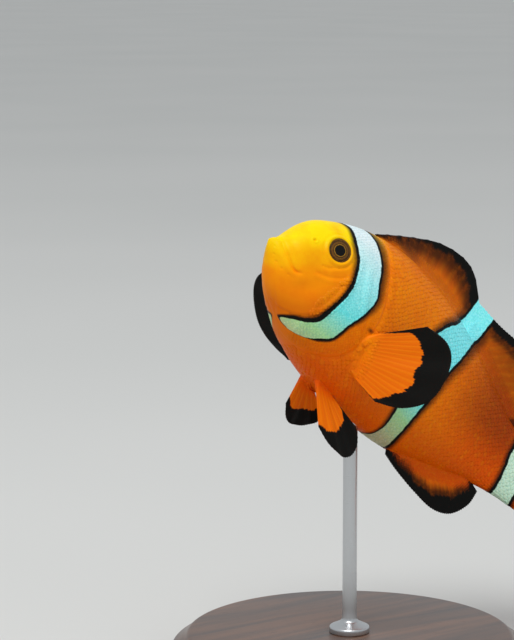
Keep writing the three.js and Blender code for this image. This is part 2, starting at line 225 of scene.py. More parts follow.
class Line:
    """A smooth line on the unwrap, through points of (distance back, girth, one or more weights).

    Distances from it are positive above a line that runs back, behind one that runs down, and
    inside a closed one. They are tabled once, so that they are quick to find for many points.
    """

    step = 0.1
    margin = 5.0

    def __init__(self, points, closed=False):
        points = np.array(points, float)
        spans = len(points) - 1
        first = 0
        if closed:
            spans, first = len(points), 1
            points = np.concatenate([points[-1:], points, points[:2]])
        t = np.linspace(first, first + spans, spans * 6 + 1)
        self.x, self.girth, *weights = (through(column)(t) for column in points.T)
        self.low = np.array((self.x.min(), self.girth.min())) - self.margin
        span = np.array((self.x.max(), self.girth.max())) + self.margin - self.low
        counts = np.ceil(span / self.step).astype(int) + 1
        x, girth = (self.low[k] + np.arange(counts[k]) * self.step for k in range(2))
        x, girth = np.meshgrid(x, girth, indexing="ij")
        nearest = np.full(x.shape, np.inf)
        side, crossings = np.zeros(x.shape), np.zeros(x.shape, bool)
        tables = [np.zeros(x.shape) for _ in weights]
        for i in range(len(t) - 1):
            run, rise = self.x[i + 1] - self.x[i], self.girth[i + 1] - self.girth[i]
            from_x, from_girth = x - self.x[i], girth - self.girth[i]
            share = np.clip((from_x * run + from_girth * rise) / (run**2 + rise**2), 0, 1)
            distance = np.hypot(from_x - share * run, from_girth - share * rise)
            nearer = distance < nearest
            nearest[nearer] = distance[nearer]
            side[nearer] = np.sign(run * from_girth - rise * from_x)[nearer]
            for table, weight in zip(tables, weights):
                table[nearer] = (weight[i] + share * (weight[i + 1] - weight[i]))[nearer]
            level = (from_girth >= 0) != (girth - self.girth[i + 1] >= 0)
            crossings ^= level & (from_x < from_girth * run / (rise + 1e-12))
        if closed:
            side = np.where(crossings, 1.0, -1.0)
        self.table = np.stack([nearest * side, *tables], -1)

    def at(self, x, girth):
        """Distance from the line and the weights of its nearest point."""
        found = between(self.table, (x - self.low[0]) / self.step, (girth - self.low[1]) / self.step)
        return tuple(np.moveaxis(found, -1, 0))

    def spots(self, spacing):
        """Places along the line, evenly spaced."""
        length = np.concatenate([[0], np.cumsum(np.hypot(np.diff(self.x), np.diff(self.girth)))])
        places = np.arange(spacing / 2, length[-1], spacing)
        return np.stack([np.interp(places, length, self.x), np.interp(places, length, self.girth)], -1)


# Outlines of the white bars; the weights are the widths of the black line round them and of the
# brown haze outside it.
HEAD_BAR = Line((
    (8.2, 16.7, 0.5, 0.7), (9.6, 13, 0.55, 0.8), (10.6, 10.3, 0.6, 0.9), (11.5, 7.6, 0.6, 1.1),
    (12.8, 5.2, 0.6, 1.3), (13.7, 1.8, 0.6, 0.9), (13.9, -1.2, 0.6, 0.7), (13.5, -4.7, 0.75, 0.6),
    (13.3, -7, 0.85, 0.6), (11.8, -8.8, 0.75, 0.5), (10.3, -9.9, 0.6, 0.4), (9.6, -11.6, 0.2, 0.2),
    (11.6, -12, -0.1, 0.2), (14, -10.9, -0.1, 0.2), (15.7, -9.3, 0.45, 0.3), (17.1, -7.7, 0.45, 0.4),
    (17.6, -4.7, 0.4, 0.6), (18.5, -1.9, 0.4, 1), (19.1, 1.3, 0.4, 1.6), (18, 4.1, 0.45, 2.1),
    (16.9, 7.3, 0.5, 2.4), (15.2, 10.7, 0.5, 2.6), (13.9, 13.5, 0.5, 2.4), (14.4, 17.3, 0.5, 1.6),
), closed=True)
MIDDLE_BAR = Line((
    (42.6, 24, 0.5, 1), (41.6, 16.8, 0.5, 2), (39.2, 11.6, 0.6, 2), (36.6, 8.6, 0.6, 1.6),
    (33.9, 4, 0.5, 1.2), (32.6, -0.9, 0.5, 0.8), (34, -4.6, 0.5, 0.9), (36.6, -7.2, 0.5, 1),
    (37.8, -10.3, 0.4, 0.9), (38.2, -13.3, 0.2, 0.7), (38, -18, 0.2, 0.6), (42.4, -18, 0.5, 0.9),
    (42.3, -14.4, 0.5, 1), (41.5, -11, 0.5, 1.1), (41.1, -6.3, 0.5, 1.2), (41.3, -2.5, 0.5, 1.6),
    (41.6, 2.5, 0.5, 2.2), (42.6, 6, 0.5, 2.6), (44, 10.5, 0.5, 3), (46, 15.2, 0.5, 3.2),
    (46.6, 24, 0.5, 3.2),
), closed=True)
TAIL_BAR = Line((
    (62.6, 11, 0.5, 1.6), (62.2, 2.3, 0.5, 1.4), (62.7, -0.6, 0.5, 1.2), (63.2, -3.3, 0.5, 1),
    (64.4, -11, 0.5, 1), (67.6, -11, 0.5, 1), (66.8, -4.4, 0.5, 1), (66.4, -1.1, 0.5, 1),
    (66.6, 2.4, 0.5, 1), (67.4, 11, 0.5, 1),
), closed=True)

# Lines of the head and flank; the weight is how strongly they show.
GILL_EDGE = Line((
    (16.6, 15, 0), (17.8, 10.8, 0.3), (19.3, 6.8, 0.9), (20.8, 3.1, 1), (21.8, 0, 1), (22, -2.5, 1),
    (21.8, -5.2, 1), (21.2, -7.7, 1), (20, -9.9, 0.8), (17, -12.3, 0.5), (13.4, -14, 0.25), (9.6, -14, 0),
))
SCALES_BEGIN = Line((
    (8.0, 18, 1), (9.6, 11, 1), (11.9, 7, 1), (12.4, 3, 1), (11.4, -0.5, 1), (10.6, -4.5, 1),
    (11.4, -9, 1), (13.6, -18, 1),
))
LATERAL_LINE = Line((
    (18.5, 8.3, 1), (24, 10.4, 1), (32, 11, 1), (40, 10, 1), (48, 7.6, 1), (54, 5.2, 1), (57, 3.6, 0.4),
))
MOUTH = Line((
    (0.8, 3.6, 1.4), (1.0, 2.3, 1.3), (1.5, 1.0, 1), (2.3, -0.3, 0.8), (3.5, -1.8, 0.9),
    (4.4, -2.7, 1), (5.2, -2.95, 0.9), (6.2, -2.5, 0),
))
LIP_FOLD = Line(((2.0, 2.2, 0), (2.6, 1.3, 0.8), (3.5, 0.1, 1), (4.6, -1.1, 0.8), (5.6, -1.9, 0)))
CHIN_FOLD = Line(((0.6, 0.4, 0), (1.0, -0.8, 0.7), (2.2, -2.5, 0.8), (3.6, -3.7, 0.5), (4.8, -4.1, 0)))
UNDER_EYE = Line(((7.2, 0.6, 0), (8.3, 0.5, 1), (9.85, 1.5, 1), (11.1, 2.7, 0.8), (11.7, 4.2, 0)))
CHEEK_WRINKLE = Line((
    (7.2, -1.1, 0), (8.0, -1.0, 1), (9.4, -0.6, 1), (10.8, 0.2, 1), (11.9, 1.2, 0.8),
    (12.5, 2.4, 0),
))
CHEEK_PLATE = Line((
    (12.5, 5.4, 0), (13.0, 3.6, 0.6), (13.3, 0.8, 1), (13.1, -2.9, 1), (12.3, -6.1, 1),
    (10.5, -8.6, 0.9), (8.3, -9.9, 0.5), (6.6, -10.2, 0),
))
GILL_PLATE = Line(((14.8, 6.2, 0), (15.6, 3.4, 1), (17.5, -0.6, 1), (19.6, -3.8, 0.8), (20.9, -5, 0)))
THROAT_FOLD = Line((
    (4.6, -7.0, 0), (5.6, -8.1, 0.8), (7.4, -10.1, 1), (9.3, -12, 0.9), (12.2, -13.4, 0),
))
# Folds across those lines: each is a row of ridges, as (distance from the line, width, height).
FOLDS = (
    (MOUTH, ((0.0, 0.2, -0.26), (0.5, 0.4, 0.07), (-0.6, 0.42, 0.12))),
    (LIP_FOLD, ((0.0, 0.4, -0.06), (0.8, 0.5, 0.03))),
    (CHIN_FOLD, ((0.0, 0.35, -0.05), (-0.8, 0.6, 0.04))),
    (UNDER_EYE, ((0.0, 0.22, -0.09), (-0.6, 0.35, 0.06))),
    (CHEEK_WRINKLE, ((0.0, 0.24, -0.11), (-0.65, 0.4, 0.07))),
    (CHEEK_PLATE, ((0.0, 0.22, -0.08), (-0.55, 0.45, 0.07))),
    (GILL_PLATE, ((0.0, 0.7, 0.1),)),
    (THROAT_FOLD, ((0.0, 0.25, -0.06), (0.6, 0.5, 0.05))),
    (LATERAL_LINE, ((0.0, 0.3, -0.03),)),
)
PORE_LINES = (CHEEK_PLATE, UNDER_EYE, CHIN_FOLD)
PORE_SPACING, PORE_RADIUS, PORE_DEPTH = 1.4, 0.15, 0.1
# Soft swellings and hollows of the head: distance back, girth, radius, height.
BULGES = (
    (6.2, -3.8, 0.8, 0.16), (8.5, -3.9, 1.3, -0.14), (3.0, 0.4, 1.3, 0.06), (9.2, -6.6, 2.4, 0.2),
    (6.5, 8.0, 2.6, 0.1), (17.6, 1.5, 2.8, 0.12),
)
NOSTRIL = (4.9, 3.5)
NOSTRIL_RADIUS, NOSTRIL_DEPTH = 0.2, 0.4
NOSTRIL_RIM = (0.42, 0.14, 0.1)     # radius, width, height
LID = (2.3, 0.36, 0.36)             # the same for the two soft folds of skin round an eye
OUTER_LID = (3.2, 0.3, 0.06)
SOCKET_RADIUS, SOCKET_DEPTH = 1.5, 0.4  # the hollow under the eyeball, whose wall ends at EYE_OPENING


def eye_centre(side):
    return np.array((EYE_AT, side * (flank_at(EYE_AT, EYE_UP) - EYE_SUNK), EYE_UP))


def eye_axis(side):
    return unit(np.array(EYE_LOOKS) * (1, side, 1))


def off_eye_axis(points, side):
    """Distance of each point from the line along which an eye looks; far on the other side of the head."""
    away = points - eye_centre(side)
    ahead = away @ eye_axis(side)
    square = np.linalg.norm(away - ahead[..., None] * eye_axis(side), axis=-1)
    return np.where(ahead > 0, square, 99.0)


def round_fold(distance, radius, width, height):
    """A soft ridge round a place, by the distance from that place."""
    return height * hump(distance - radius, width)


def relief(points):
    """Folds of the skin: how far each point of the plain body is raised along its normal, in mm."""
    x, girth = points[..., 0], girth_of(points)
    rise = np.zeros(x.shape)
    for line, ridges in FOLDS:
        distance, strength = line.at(x, girth)
        for offset, width, height in ridges:
            rise += strength * height * hump(distance - offset, width)
    for at, around, radius, height in BULGES:
        rise += height * hump(np.hypot(x - at, girth - around), radius)
    for line in PORE_LINES:
        for at, around in line.spots(PORE_SPACING):
            rise -= PORE_DEPTH * hump(np.hypot(x - at, girth - around), PORE_RADIUS)
    nostril = np.hypot(x - NOSTRIL[0], girth - NOSTRIL[1])
    rise += round_fold(nostril, *NOSTRIL_RIM) - NOSTRIL_DEPTH * hump(nostril, NOSTRIL_RADIUS)
    for side in (LEFT, RIGHT):
        off_axis = off_eye_axis(points, side)
        rise += round_fold(off_axis, *LID) + round_fold(off_axis, *OUTER_LID)
        rise -= SOCKET_DEPTH * (1 - smoothstep(SOCKET_RADIUS, EYE_OPENING, off_axis))
    # the edge of the gill cover stands out over the groove behind it
    behind, shut = GILL_EDGE.at(x, girth)
    lip = 1 - smoothstep(-0.08, 0.08, behind)
    rise += shut * lip * (0.1 * np.exp(np.minimum(behind, 0) / 1.7) + 0.03 * hump(behind + 0.3, 0.22))
    rise -= shut * (1 - lip) * 0.09 * np.exp(-np.maximum(behind, 0) / 1.2)
    return rise


def skin_point(t, angle, coat):
    """Points of the skin with its folds, which lies inside the plain body by the coat's depth."""
    step = 1e-3
    points = ring_point(t, angle, -coat)
    along = ring_point(t + step, angle, -coat) - ring_point(t - step, angle, -coat)
    around = ring_point(t, angle + step, -coat) - ring_point(t, angle - step, -coat)
    normals = unit(np.cross(around, along))
    return points + normals * relief(points)[..., None]


# ------------------------------------------------------------------ fins of the straight fish, in mm

FIN_SINK = 1.3         # how far a fin starts below the body's surface
FIN_EDGE = 0.3         # thickness of the membrane
FILLET = (0.2, 0.7)    # share of a fin's flesh that is a fillet at its root, and how far out that reaches
FLESH_ROOM = 1.7       # most flesh of a fin on the midline, as a share of the body's half width there
FLESH_ENDS = (0.3, 0.22, 0.12)      # share of it left at such a fin's ends, and the stretch of each end
COLUMNS_PER_RAY, MOST_COLUMNS, FIN_ROWS = 12, 190, 64


class Fin:
    """One fin: a sheet of rays, its flesh at the root and its black margin."""

    def __init__(self, name, rays, line, flare, margin, *, spines=False, notch=0.12, bow=0.0, smoke=0.0,
                 barred=False, front_edge=0.0, rear_edge=0.0, scaled=0.0):
        self.name = name                # the CAD node it stands for
        self.rays = rays                # number of rays or spines
        self.root, self.tip = line[:2]  # functions of t, from 0 to 1: where a ray enters the body, its tip
        self.square = line[2]           # the way square to the flat of the fin
        self.flare = flare              # thickness of flesh, how far out it reaches, and how deep it starts
        self.margin = margin            # share of each ray, from its sunk root to its tip, that isn't black
        self.spines = spines
        self.notch = notch              # how far the edge draws in between two rays
        self.bow = bow                  # how far the tips bow out of the flat, as a share of their reach
        # the haze in from the black is partly the fin's own dusky colour and partly painted shade
        self.smoke = smoke              # how far a dark haze runs in from the black
        self.barred = barred            # whether the body's white bars run on over it
        self.front_edge = front_edge    # width of the black along the first ray
        self.rear_edge = rear_edge      # the same along the last
        self.scaled = scaled            # how far out from the root the scales reach

    def comb(self, t, v):
        """0 on the membrane and 1 on a ray; soft rays branch twice on their way out."""
        phase = 2 * math.pi * self.rays * t
        stem = 0.5 - 0.5 * np.cos(phase)
        if self.spines:
            return stem**6
        first = (0.5 - 0.5 * np.cos(2 * phase + math.pi)) ** 2
        second = (0.5 - 0.5 * np.cos(4 * phase + math.pi)) ** 1.5
        split = smoothstep(0.35, 0.5, v)
        again = smoothstep(0.68, 0.85, v)
        return stem**2.5 * (1 - split) + split * (first * (1 - again) + second * again)

    def sheet(self, t, v):
        """Points of the middle of the fin; v runs from below the skin, at 0, to the edge, at 1."""
        root, tip = self.root(t), self.tip(t)
        outward = unit(tip - root)
        reach = np.linalg.norm(tip - root, axis=-1)
        reach = reach - self.notch * (1 - self.comb(t, np.ones_like(t)))
        out = -FIN_SINK + (reach + FIN_SINK) * v
        middle = root + outward * out[..., None]
        return middle + self.square * (self.bow * np.maximum(out, 0) ** 2 / reach)[..., None]


def on_profile(height, from_x, to_x, edge):
    """Root along the back or belly and tips along an edge of (distance back, height) points."""
    columns = [through(column) for column in np.array(edge, float).T]

    def root(t):
        x = from_x + (to_x - from_x) * t
        return np.stack([x, 0 * x, height(station_at(x))], -1)

    def tip(t):
        x, z = (column(t * (len(edge) - 1)) for column in columns)
        return np.stack([x, 0 * x, z], -1)

    return root, tip, np.array((0.0, 1.0, 0.0))


def fan(root_top, root_bottom, outward, across, lengths, angles):
    """Root and tips of a paired fin whose rays fan from a root on the flank or belly."""
    middle = unit(np.array(outward, float))
    cross = np.array(across, float)
    cross = unit(cross - middle * (cross @ middle))
    length_at, turn_at = through(lengths), through(angles)
    last = len(lengths) - 1

    def root(t):
        return np.array(root_top) + (np.array(root_bottom) - np.array(root_top)) * t[..., None]

    def tip(t):
        angle = np.radians(turn_at(t * last))[..., None]
        return root(t) + (middle * np.cos(angle) + cross * np.sin(angle)) * length_at(t * last)[..., None]

    return root, tip, np.cross(middle, cross)


def on_flank(x, z, side):
    return x, side * (float(flank_at(x, z)) - 0.3), z


SPINY_EDGE = ((17, 14.4), (20, 16.6), (24.6, 19.6), (29.4, 22.2), (34.4, 23.4), (38.8, 22.8), (42.8, 19.6))
SOFT_EDGE = ((41.8, 19.8), (48, 19.2), (54, 19.2), (59.8, 18.4), (65, 15.8), (67.2, 12.2), (65, 8.2))
ANAL_EDGE = ((43.6, -11.8), (47.2, -12.7), (52, -13.6), (56.5, -13.9), (59.6, -12.6), (61.3, -9.6),
             (61.4, -6.6))
TAIL_EDGE_UPPER = ((70.6, 6.4), (74.4, 9), (79.8, 10.9), (84.4, 10.8), (87.6, 8), (88.8, 4))
TAIL_EDGE = [(x, -z) for x, z in TAIL_EDGE_UPPER] + [(88.9, 0)] + list(reversed(TAIL_EDGE_UPPER))


def tail_line():
    """Root and tips of the tail fin."""
    _, tip, square = on_profile(station_back, 0, 0, TAIL_EDGE)

    def root(t):
        return np.stack([0 * t + BODY_LENGTH, 0 * t, -5 + 10 * t], -1)

    return root, tip, square


def median_fins():
    """The fins on the midline."""
    return [
        Fin("dorsal_fin_spiny", 11, on_profile(station_back, 17.8, 42.2, SPINY_EDGE), (6.6, 2.6, 1.3),
            (0.99, 0.97, 0.95, 0.93, 0.9, 0.87, 0.82, 0.72, 0.6), spines=True, notch=0.08, smoke=5.5,
            barred=True, scaled=1.6),
        Fin("dorsal_fin_soft", 14, on_profile(station_back, 40.8, 60.6, SOFT_EDGE), (5.8, 2.5, 1.3),
            (0.7, 0.8, 0.81, 0.81, 0.8, 0.74, 0.55), smoke=4.5, barred=True, rear_edge=0.5, scaled=2.6),
        Fin("anal_fin", 13, on_profile(station_belly, 43.2, 60, ANAL_EDGE), (5.2, 2.2, 1.3),
            (0.53, 0.68, 0.74, 0.74, 0.71, 0.66, 0.64, 0.56, 0.32), smoke=2.5, front_edge=0.7, rear_edge=0.5,
            scaled=1.8),
        Fin("caudal_fin", 17, tail_line(), (3.2, 2.2, 0.6),
            (0.35, 0.74, 0.82, 0.84, 0.85, 0.84, 0.82, 0.74, 0.35), smoke=1.2, front_edge=0.6, rear_edge=0.6,
            scaled=6.0),
    ]


def paired_fins():
    """The pectoral and pelvic fins.

    Each has its way outwards as (back, right, up) for a fin on the right, the lengths of its rays in
    mm, their turns from that way in degrees, and its margin.
    """
    pectorals = {
        LEFT: ((0.42, 0.8, 0.4), (9.9, 13.8, 15.4, 15.7, 14.8, 11.3, 6.2), (9, 0, -7, -15, -26, -35, -44),
               (0.71, 0.7, 0.7, 0.71, 0.67, 0.71, 0.69, 0.72, 0.89)),
        RIGHT: ((-0.46, 0.82, 0.44), (13, 14.4, 13.9, 12.1, 9.8, 7.1, 4.9),
                (-3, -10, -16, -25, -31, -34, -34), (0.68, 0.68, 0.68, 0.68, 0.68, 0.7, 0.72, 0.74, 0.8)),
    }
    pelvics = {
        LEFT: ((0.64, 0.38, -0.64), (8.4, 11.8, 12.8, 11.6, 7.7), (13, 3, -4, -14, -28),
               (0.97, 0.86, 0.76, 0.72, 0.69, 0.65, 0.61, 0.61, 0.51)),
        RIGHT: ((0.66, 0.4, -0.62), (5.9, 8.2, 8.7, 8.5, 7.1), (20, 14, 2, -14, -25),
                (0.82, 0.8, 0.75, 0.72, 0.7, 0.69, 0.7, 0.73, 0.75)),
    }
    fins = []
    for side, word in ((LEFT, "left"), (RIGHT, "right")):
        mirror = np.array((1, side, 1))
        outward, lengths, angles, margin = pectorals[side]
        line = fan(on_flank(22.3, -1.3, side), on_flank(25.6, -7.8, side), outward * mirror,
                   (-0.37, -0.11, 0.93) * mirror, lengths, angles)
        fins.append(Fin(f"pectoral_fin_{word}", 16, line, (2.8, 1.3, 0.6), margin, bow=-0.05 * side,
                        front_edge=0.9, rear_edge=0.3, scaled=2.2))
        outward, lengths, angles, margin = pelvics[side]
        line = fan((22.2, side * 1.8, -11.2), (26, side * 1.8, -11.5), outward * mirror,
                   (-0.75, -0.1, -0.55) * mirror, lengths, angles)
        fins.append(Fin(f"pelvic_fin_{word}", 6, line, (2.2, 1.2, 0.6), margin, scaled=1.0))
    return fins


def all_fins():
    return median_fins() + paired_fins()


# ------------------------------------------------------------------ bending and meshes


def midline():
    """Tables over the distance back: the bent midline's way back, way left and turn."""
    x = np.linspace(-10, 110, 2401)
    turn = BEND_RATE * (x - BEND_START) + BEND_GROWTH * (x - BEND_START) ** 2 / 2
    step = x[1] - x[0]
    back = np.cumsum(np.cos(turn)) * step
    left = np.cumsum(np.sin(turn)) * step
    back -= np.interp(PERCH_AT, x, back)
    left -= np.interp(PERCH_AT, x, left)
    return x, back, left, turn


MIDLINE = midline()


def posed(points):
    """Bends points of the straight fish, pitches them on the stand and turns them to metres."""
    x, y, z = points[..., 0], points[..., 1], points[..., 2]
    places, back, left, turn = MIDLINE
    turned = np.interp(x, places, turn)
    along = np.interp(x, places, back) + y * np.sin(turned)
    across = y * np.cos(turned) - np.interp(x, places, left)
    world = np.stack([
        along * math.cos(PITCH) + z * math.sin(PITCH),
        across,
        z * math.cos(PITCH) - along * math.sin(PITCH),
    ], -1)
    return (world + PERCH_PLACE) * MM


def new_mesh(name, points, faces, scale=1.0):
    """A mesh from an array of points and arrays of faces of equal corner count."""
    mesh = bpy.data.meshes.new(name)
    faces = [np.asarray(f) for f in (faces if isinstance(faces, list) else [faces])]
    loops = np.concatenate([f.ravel() for f in faces])
    counts = np.concatenate([np.full(len(f), f.shape[1]) for f in faces])
    mesh.vertices.add(len(points))
    mesh.vertices.foreach_set("co", (points * scale).astype(np.float32).ravel())
    mesh.loops.add(len(loops))
    mesh.loops.foreach_set("vertex_index", loops.astype(np.int32))
    mesh.polygons.add(len(counts))
    mesh.polygons.foreach_set("loop_start", np.concatenate([[0], np.cumsum(counts)[:-1]]).astype(np.int32))
    mesh.update(calc_edges=True)
    mesh.validate()
    return mesh


def new_object(name, mesh, material=None, smooth=True):
    piece = bpy.data.objects.new(name, mesh)
    bpy.context.scene.collection.objects.link(piece)
    if material:
        mesh.materials.append(material)
    if smooth:
        mesh.polygons.foreach_set("use_smooth", np.ones(len(mesh.polygons), bool))
    return piece


def read(collection, key, width, kind=np.float32):
    """Values of a mesh's vertices, loops or polygons as an array."""
    values = np.empty(len(collection) * width, kind)
    collection.foreach_get(key, values)
    return values.reshape(-1, width) if width > 1 else values


def mesh_points(mesh):
    return read(mesh.vertices, "co", 3).astype(float)


def tree_of(points):
    """A search tree over an array of points."""
    tree = KDTree(len(points))
    for i, point in enumerate(points.tolist()):
        tree.insert(point, i)
    tree.balance()
    return tree


def set_attribute(mesh, name, values):
    """Stores one vector for each vertex."""
    attribute = mesh.attributes.new(name, "FLOAT_VECTOR", "POINT")
    attribute.data.foreach_set("vector", np.asarray(values, np.float32).ravel())


def grid_quads(rows, columns, first=0, closed=False):
    """Quads of a grid, or of a tube whose rows are each closed into a ring."""
    i, j = np.meshgrid(np.arange(rows - 1), np.arange(columns - (not closed)), indexing="ij")
    a = first + i * columns + j
    b = first + i * columns + (j + 1) % columns
    return np.stack([a, b, b + columns, a + columns], -1).reshape(-1, 4)


def lathe(outline, sides):
    """Points and faces of a solid turned about the z axis, from an outline of (radius, height) points."""
    outline = np.array(outline, float)
    around = np.linspace(0, 2 * math.pi, sides + 1)[:-1]
    inner = outline[1:-1]
    points = np.stack([
        inner[:, :1] * np.cos(around), inner[:, :1] * np.sin(around), inner[:, 1:] * np.ones(sides),
    ], -1).reshape(-1, 3)
    ends = np.array([(0, 0, outline[0, 1]), (0, 0, outline[-1, 1])])
    ring = np.arange(sides)
    after = (ring + 1) % sides
    foot, top = len(inner) * sides, len(inner) * sides + 1
    caps = [np.stack([np.full(sides, foot), after, ring], -1),
            np.stack([np.full(sides, top), foot - sides + ring, foot - sides + after], -1)]
    return np.concatenate([points, ends]), [grid_quads(len(inner), sides, closed=True), *caps]


def grid_rim(rows, columns):
    """The corners round an open grid, in order."""
    return np.concatenate([
        np.arange(rows) * columns,
        (rows - 1) * columns + np.arange(1, columns),
        np.arange(rows - 2, -1, -1) * columns + columns - 1,
        np.arange(columns - 2, 0, -1),
    ])


def plate_quads(rows, columns):
    """Quads of two facing grids, joined round the rim."""
    count = rows * columns
    rim = grid_rim(rows, columns)
    after = np.roll(rim, -1)
    return np.concatenate([
        grid_quads(rows, columns)[:, ::-1],
        grid_quads(rows, columns, count),
        np.stack([rim, after, after + count, rim + count], -1)[:, ::-1],
    ])


# ------------------------------------------------------------------ markings

NOWHERE = -9.0         # stands for a marking that is far away
TAIL_GIRTH = 7.6       # beyond this the tail's bar would reach the soft dorsal fin
# where shade is painted in the crook of the pectoral fin
AXIL = (21.8, -2.7)    # the crook of the pectoral fin, as distance back and girth


def mark(mesh, straight, ray=0.0, out=0.0, black=NOWHERE, smoke=0.0, bars_shown=1.0, tint=0.0, rim=0.0):
    """Stores what the materials read: the place on the straight fish, the bars, the fin and the scale."""
    x, girth = straight[:, 0], girth_of(straight)
    inside, line, halo = np.full(len(x), NOWHERE), np.zeros(len(x)), np.ones(len(x))
    for bar in (HEAD_BAR, MIDDLE_BAR, TAIL_BAR):
        distance, *widths = bar.at(x, girth)
        nearer = (distance > inside) & ((bar is not TAIL_BAR) | (np.abs(girth) < TAIL_GIRTH))
        for kept, found in zip((inside, line, halo), (distance, *widths)):
            kept[nearer] = found[nearer]
    inside = np.where(bars_shown > 0.5, inside, NOWHERE)
    # brown haze round the bars, and painted shade along the back, over the rump and in the crook of the
    # pectoral fin
    around = 0.85 * (1 - smoothstep(0, 1, (-inside - line) / np.maximum(halo, 0.1)))
    ridge = 0.2 * smoothstep(12, 18, girth) * smoothstep(14, 22, x)
    rump_shade = 0.55 * smoothstep(40, 56, x) * smoothstep(-5, 4, straight[:, 2]) * (1 - smoothstep(62, 72, x))
    axil_shade = 0.9 * hump((x - AXIL[0]) / 1.6, 0.5) * hump(girth - AXIL[1], 0.35) * (np.asarray(out) < 0.3)
    haze_and_shade_amount = np.maximum.reduce([around, ridge + rump_shade, axil_shade, smoke + 0 * x])
    every = np.zeros(len(x))
    set_attribute(mesh, "lie", straight)
    set_attribute(mesh, "bars", np.stack([inside, line, haze_and_shade_amount], -1))
    set_attribute(mesh, "fin", np.stack([every + ray, every + out, every + black], -1))
    set_attribute(mesh, "place", np.stack([girth, every + tint, every + rim], -1))


# ------------------------------------------------------------------ skin

HEAD_END, HEAD_ROWS, REAR_ROWS = 24, 0.12, 0.3      # how far back the closer rows go, and both spacings
BODY_COLUMNS = 400


def body_mesh(coat):
    """The plain body with its folds, as a closed mesh whose rows are closer on the head."""
    nose = (-0.97, -0.8, -0.6, -0.4, -0.2, 0.0, 0.06, 0.14, 0.24, 0.36, 0.5)
    head = np.arange(0.5, HEAD_END, HEAD_ROWS)
    rear = np.arange(HEAD_END, BODY_LENGTH + 0.01, REAR_ROWS)
    t = np.unique(np.round(np.concatenate([nose, station_at(head), station_at(rear)]), 5))
    angle = np.linspace(0, 2 * math.pi, BODY_COLUMNS + 1)[:-1]
    points = skin_point(t[:, None], angle[None, :], coat)
    rows, columns = points.shape[:2]
    caps = [np.arange(columns)[None, ::-1], (np.arange(columns) + (rows - 1) * columns)[None, :]]
    return new_mesh("body", points.reshape(-1, 3), [grid_quads(rows, columns, closed=True), *caps])


def fin_grid(fin, ray_relief):
    """Front and rear grids of points of a fin, and each point's (ray, out, black, smoke, t, v)."""
    columns = min(fin.rays * COLUMNS_PER_RAY, MOST_COLUMNS) + 1
    t, v = np.meshgrid(np.linspace(0, 1, columns), np.linspace(0, 1, FIN_ROWS) ** 0.9, indexing="ij")
    middle = fin.sheet(t, v)
    normals = unit(np.cross(np.gradient(middle, axis=0), np.gradient(middle, axis=1)))
    reach = np.linalg.norm(middle[:, -1] - middle[:, 0], axis=-1)[:, None]
    out = v * reach - FIN_SINK
    root_flesh, root_reach, depth = fin.flare
    share, fillet_reach = FILLET
    risen = out + depth
    flesh = (1 - share) * np.exp(-risen / root_reach) + share * np.exp(-risen / fillet_reach)
    flesh = root_flesh * np.minimum(flesh, 1)
    on_midline = fin.square[1] == 1.0
    if on_midline:
        room = FLESH_ROOM * flank_at(middle[:, :1, 0], middle[:, :1, 2])
        least, front_end, rear_end = FLESH_ENDS
        ends = least + (1 - least) * smoothstep(0, front_end, t) * smoothstep(0, rear_end, 1 - t)
        flesh *= np.minimum(1, room / flesh[:, :1]) * ends
    comb = fin.comb(t, v)
    shown = smoothstep(0.3, 2.4, out)
    taper = 1 - 0.6 * smoothstep(0.3, 1.0, v)
    thickness = FIN_EDGE * taper + flesh + 2 * ray_relief * comb * shown * taper
    thickness *= 1 - 0.65 * smoothstep(0.97, 1.0, v)
    # the first and the last ray are rounded
    across = np.linalg.norm(np.diff(middle, axis=0, prepend=middle[:1]), axis=-1)
    from_first = np.cumsum(across, axis=0)
    from_last = from_first[-1:] - from_first
    rounding = 1 - np.clip(np.minimum(from_first, from_last) / (thickness / 2), 0, 1)
    thickness *= np.maximum(np.sqrt(1 - rounding**2), 0.15)
    # slow waves from ray to ray
    wave = 0.16 * np.sin(9 * t + 2.1) + 0.07 * np.sin(23 * t + 4 * v)
    middle = middle + normals * (wave * smoothstep(1.0, 9.0, out))[..., None]

    # black: the margin steps from ray to ray, and narrows to a line along the first and last rays
    white_share = through(fin.margin)(t * (len(fin.margin) - 1))
    ray = np.floor(t * fin.rays)
    steps = 0.25 * np.sin(12.9 * ray) + 0.2 * np.sin(2.6 * ray + 1) - 0.12 * (comb - 0.5) * (not fin.spines)
    black = (v - white_share) * reach + steps
    for edge, distance in ((fin.front_edge, from_first), (fin.rear_edge, from_last)):
        black = np.maximum(black, edge * smoothstep(0.15, 0.75, v) * (edge > 0) - distance - 0.12)
    # the haze running in from the black: partly the fin's own dusky colour and partly painted shade
    run_in = fin.smoke * (0.2 + 0.8 * smoothstep(0, 0.3, t)) + 1e-3
    smoke = 0.92 * smoothstep(-1, -0.15, black / run_in) * (fin.smoke > 0)
    black = black / (1 + 0.5 * fin.smoke)
    coordinates = np.stack([t * fin.rays, out, black, smoke, t, v], -1)
    half = (thickness / 2)[..., None] * normals
    return middle + half, middle - half, coordinates


def signed_volume(mesh):
    mesh.calc_loop_triangles()
    points = mesh_points(mesh)
    a, b, c = (points[corner] for corner in read(mesh.loop_triangles, "vertices", 3, np.int32).T)
    return float(np.einsum("ij,ij->i", a, np.cross(b, c)).sum() / 6)


def closed_object(name, mesh):
    """An object from a closed mesh, turned the right way out."""
    if signed_volume(mesh) < 0:
        mesh.flip_normals()
    return new_object(name, mesh)


def join_solids(body, others):
    """Unites closed objects into the first one, whose mesh is replaced."""
    for other in others:
        union = body.modifiers.new("union", "BOOLEAN")
        union.operation = "UNION"
        union.solver = "MANIFOLD"
        union.object = other
        graph = bpy.context.evaluated_depsgraph_get()
        united = bpy.data.meshes.new_from_object(body.evaluated_get(graph))
        body.modifiers.remove(union)
        old = body.data
        body.data = united
        bpy.data.meshes.remove(old)
        bpy.data.objects.remove(other)


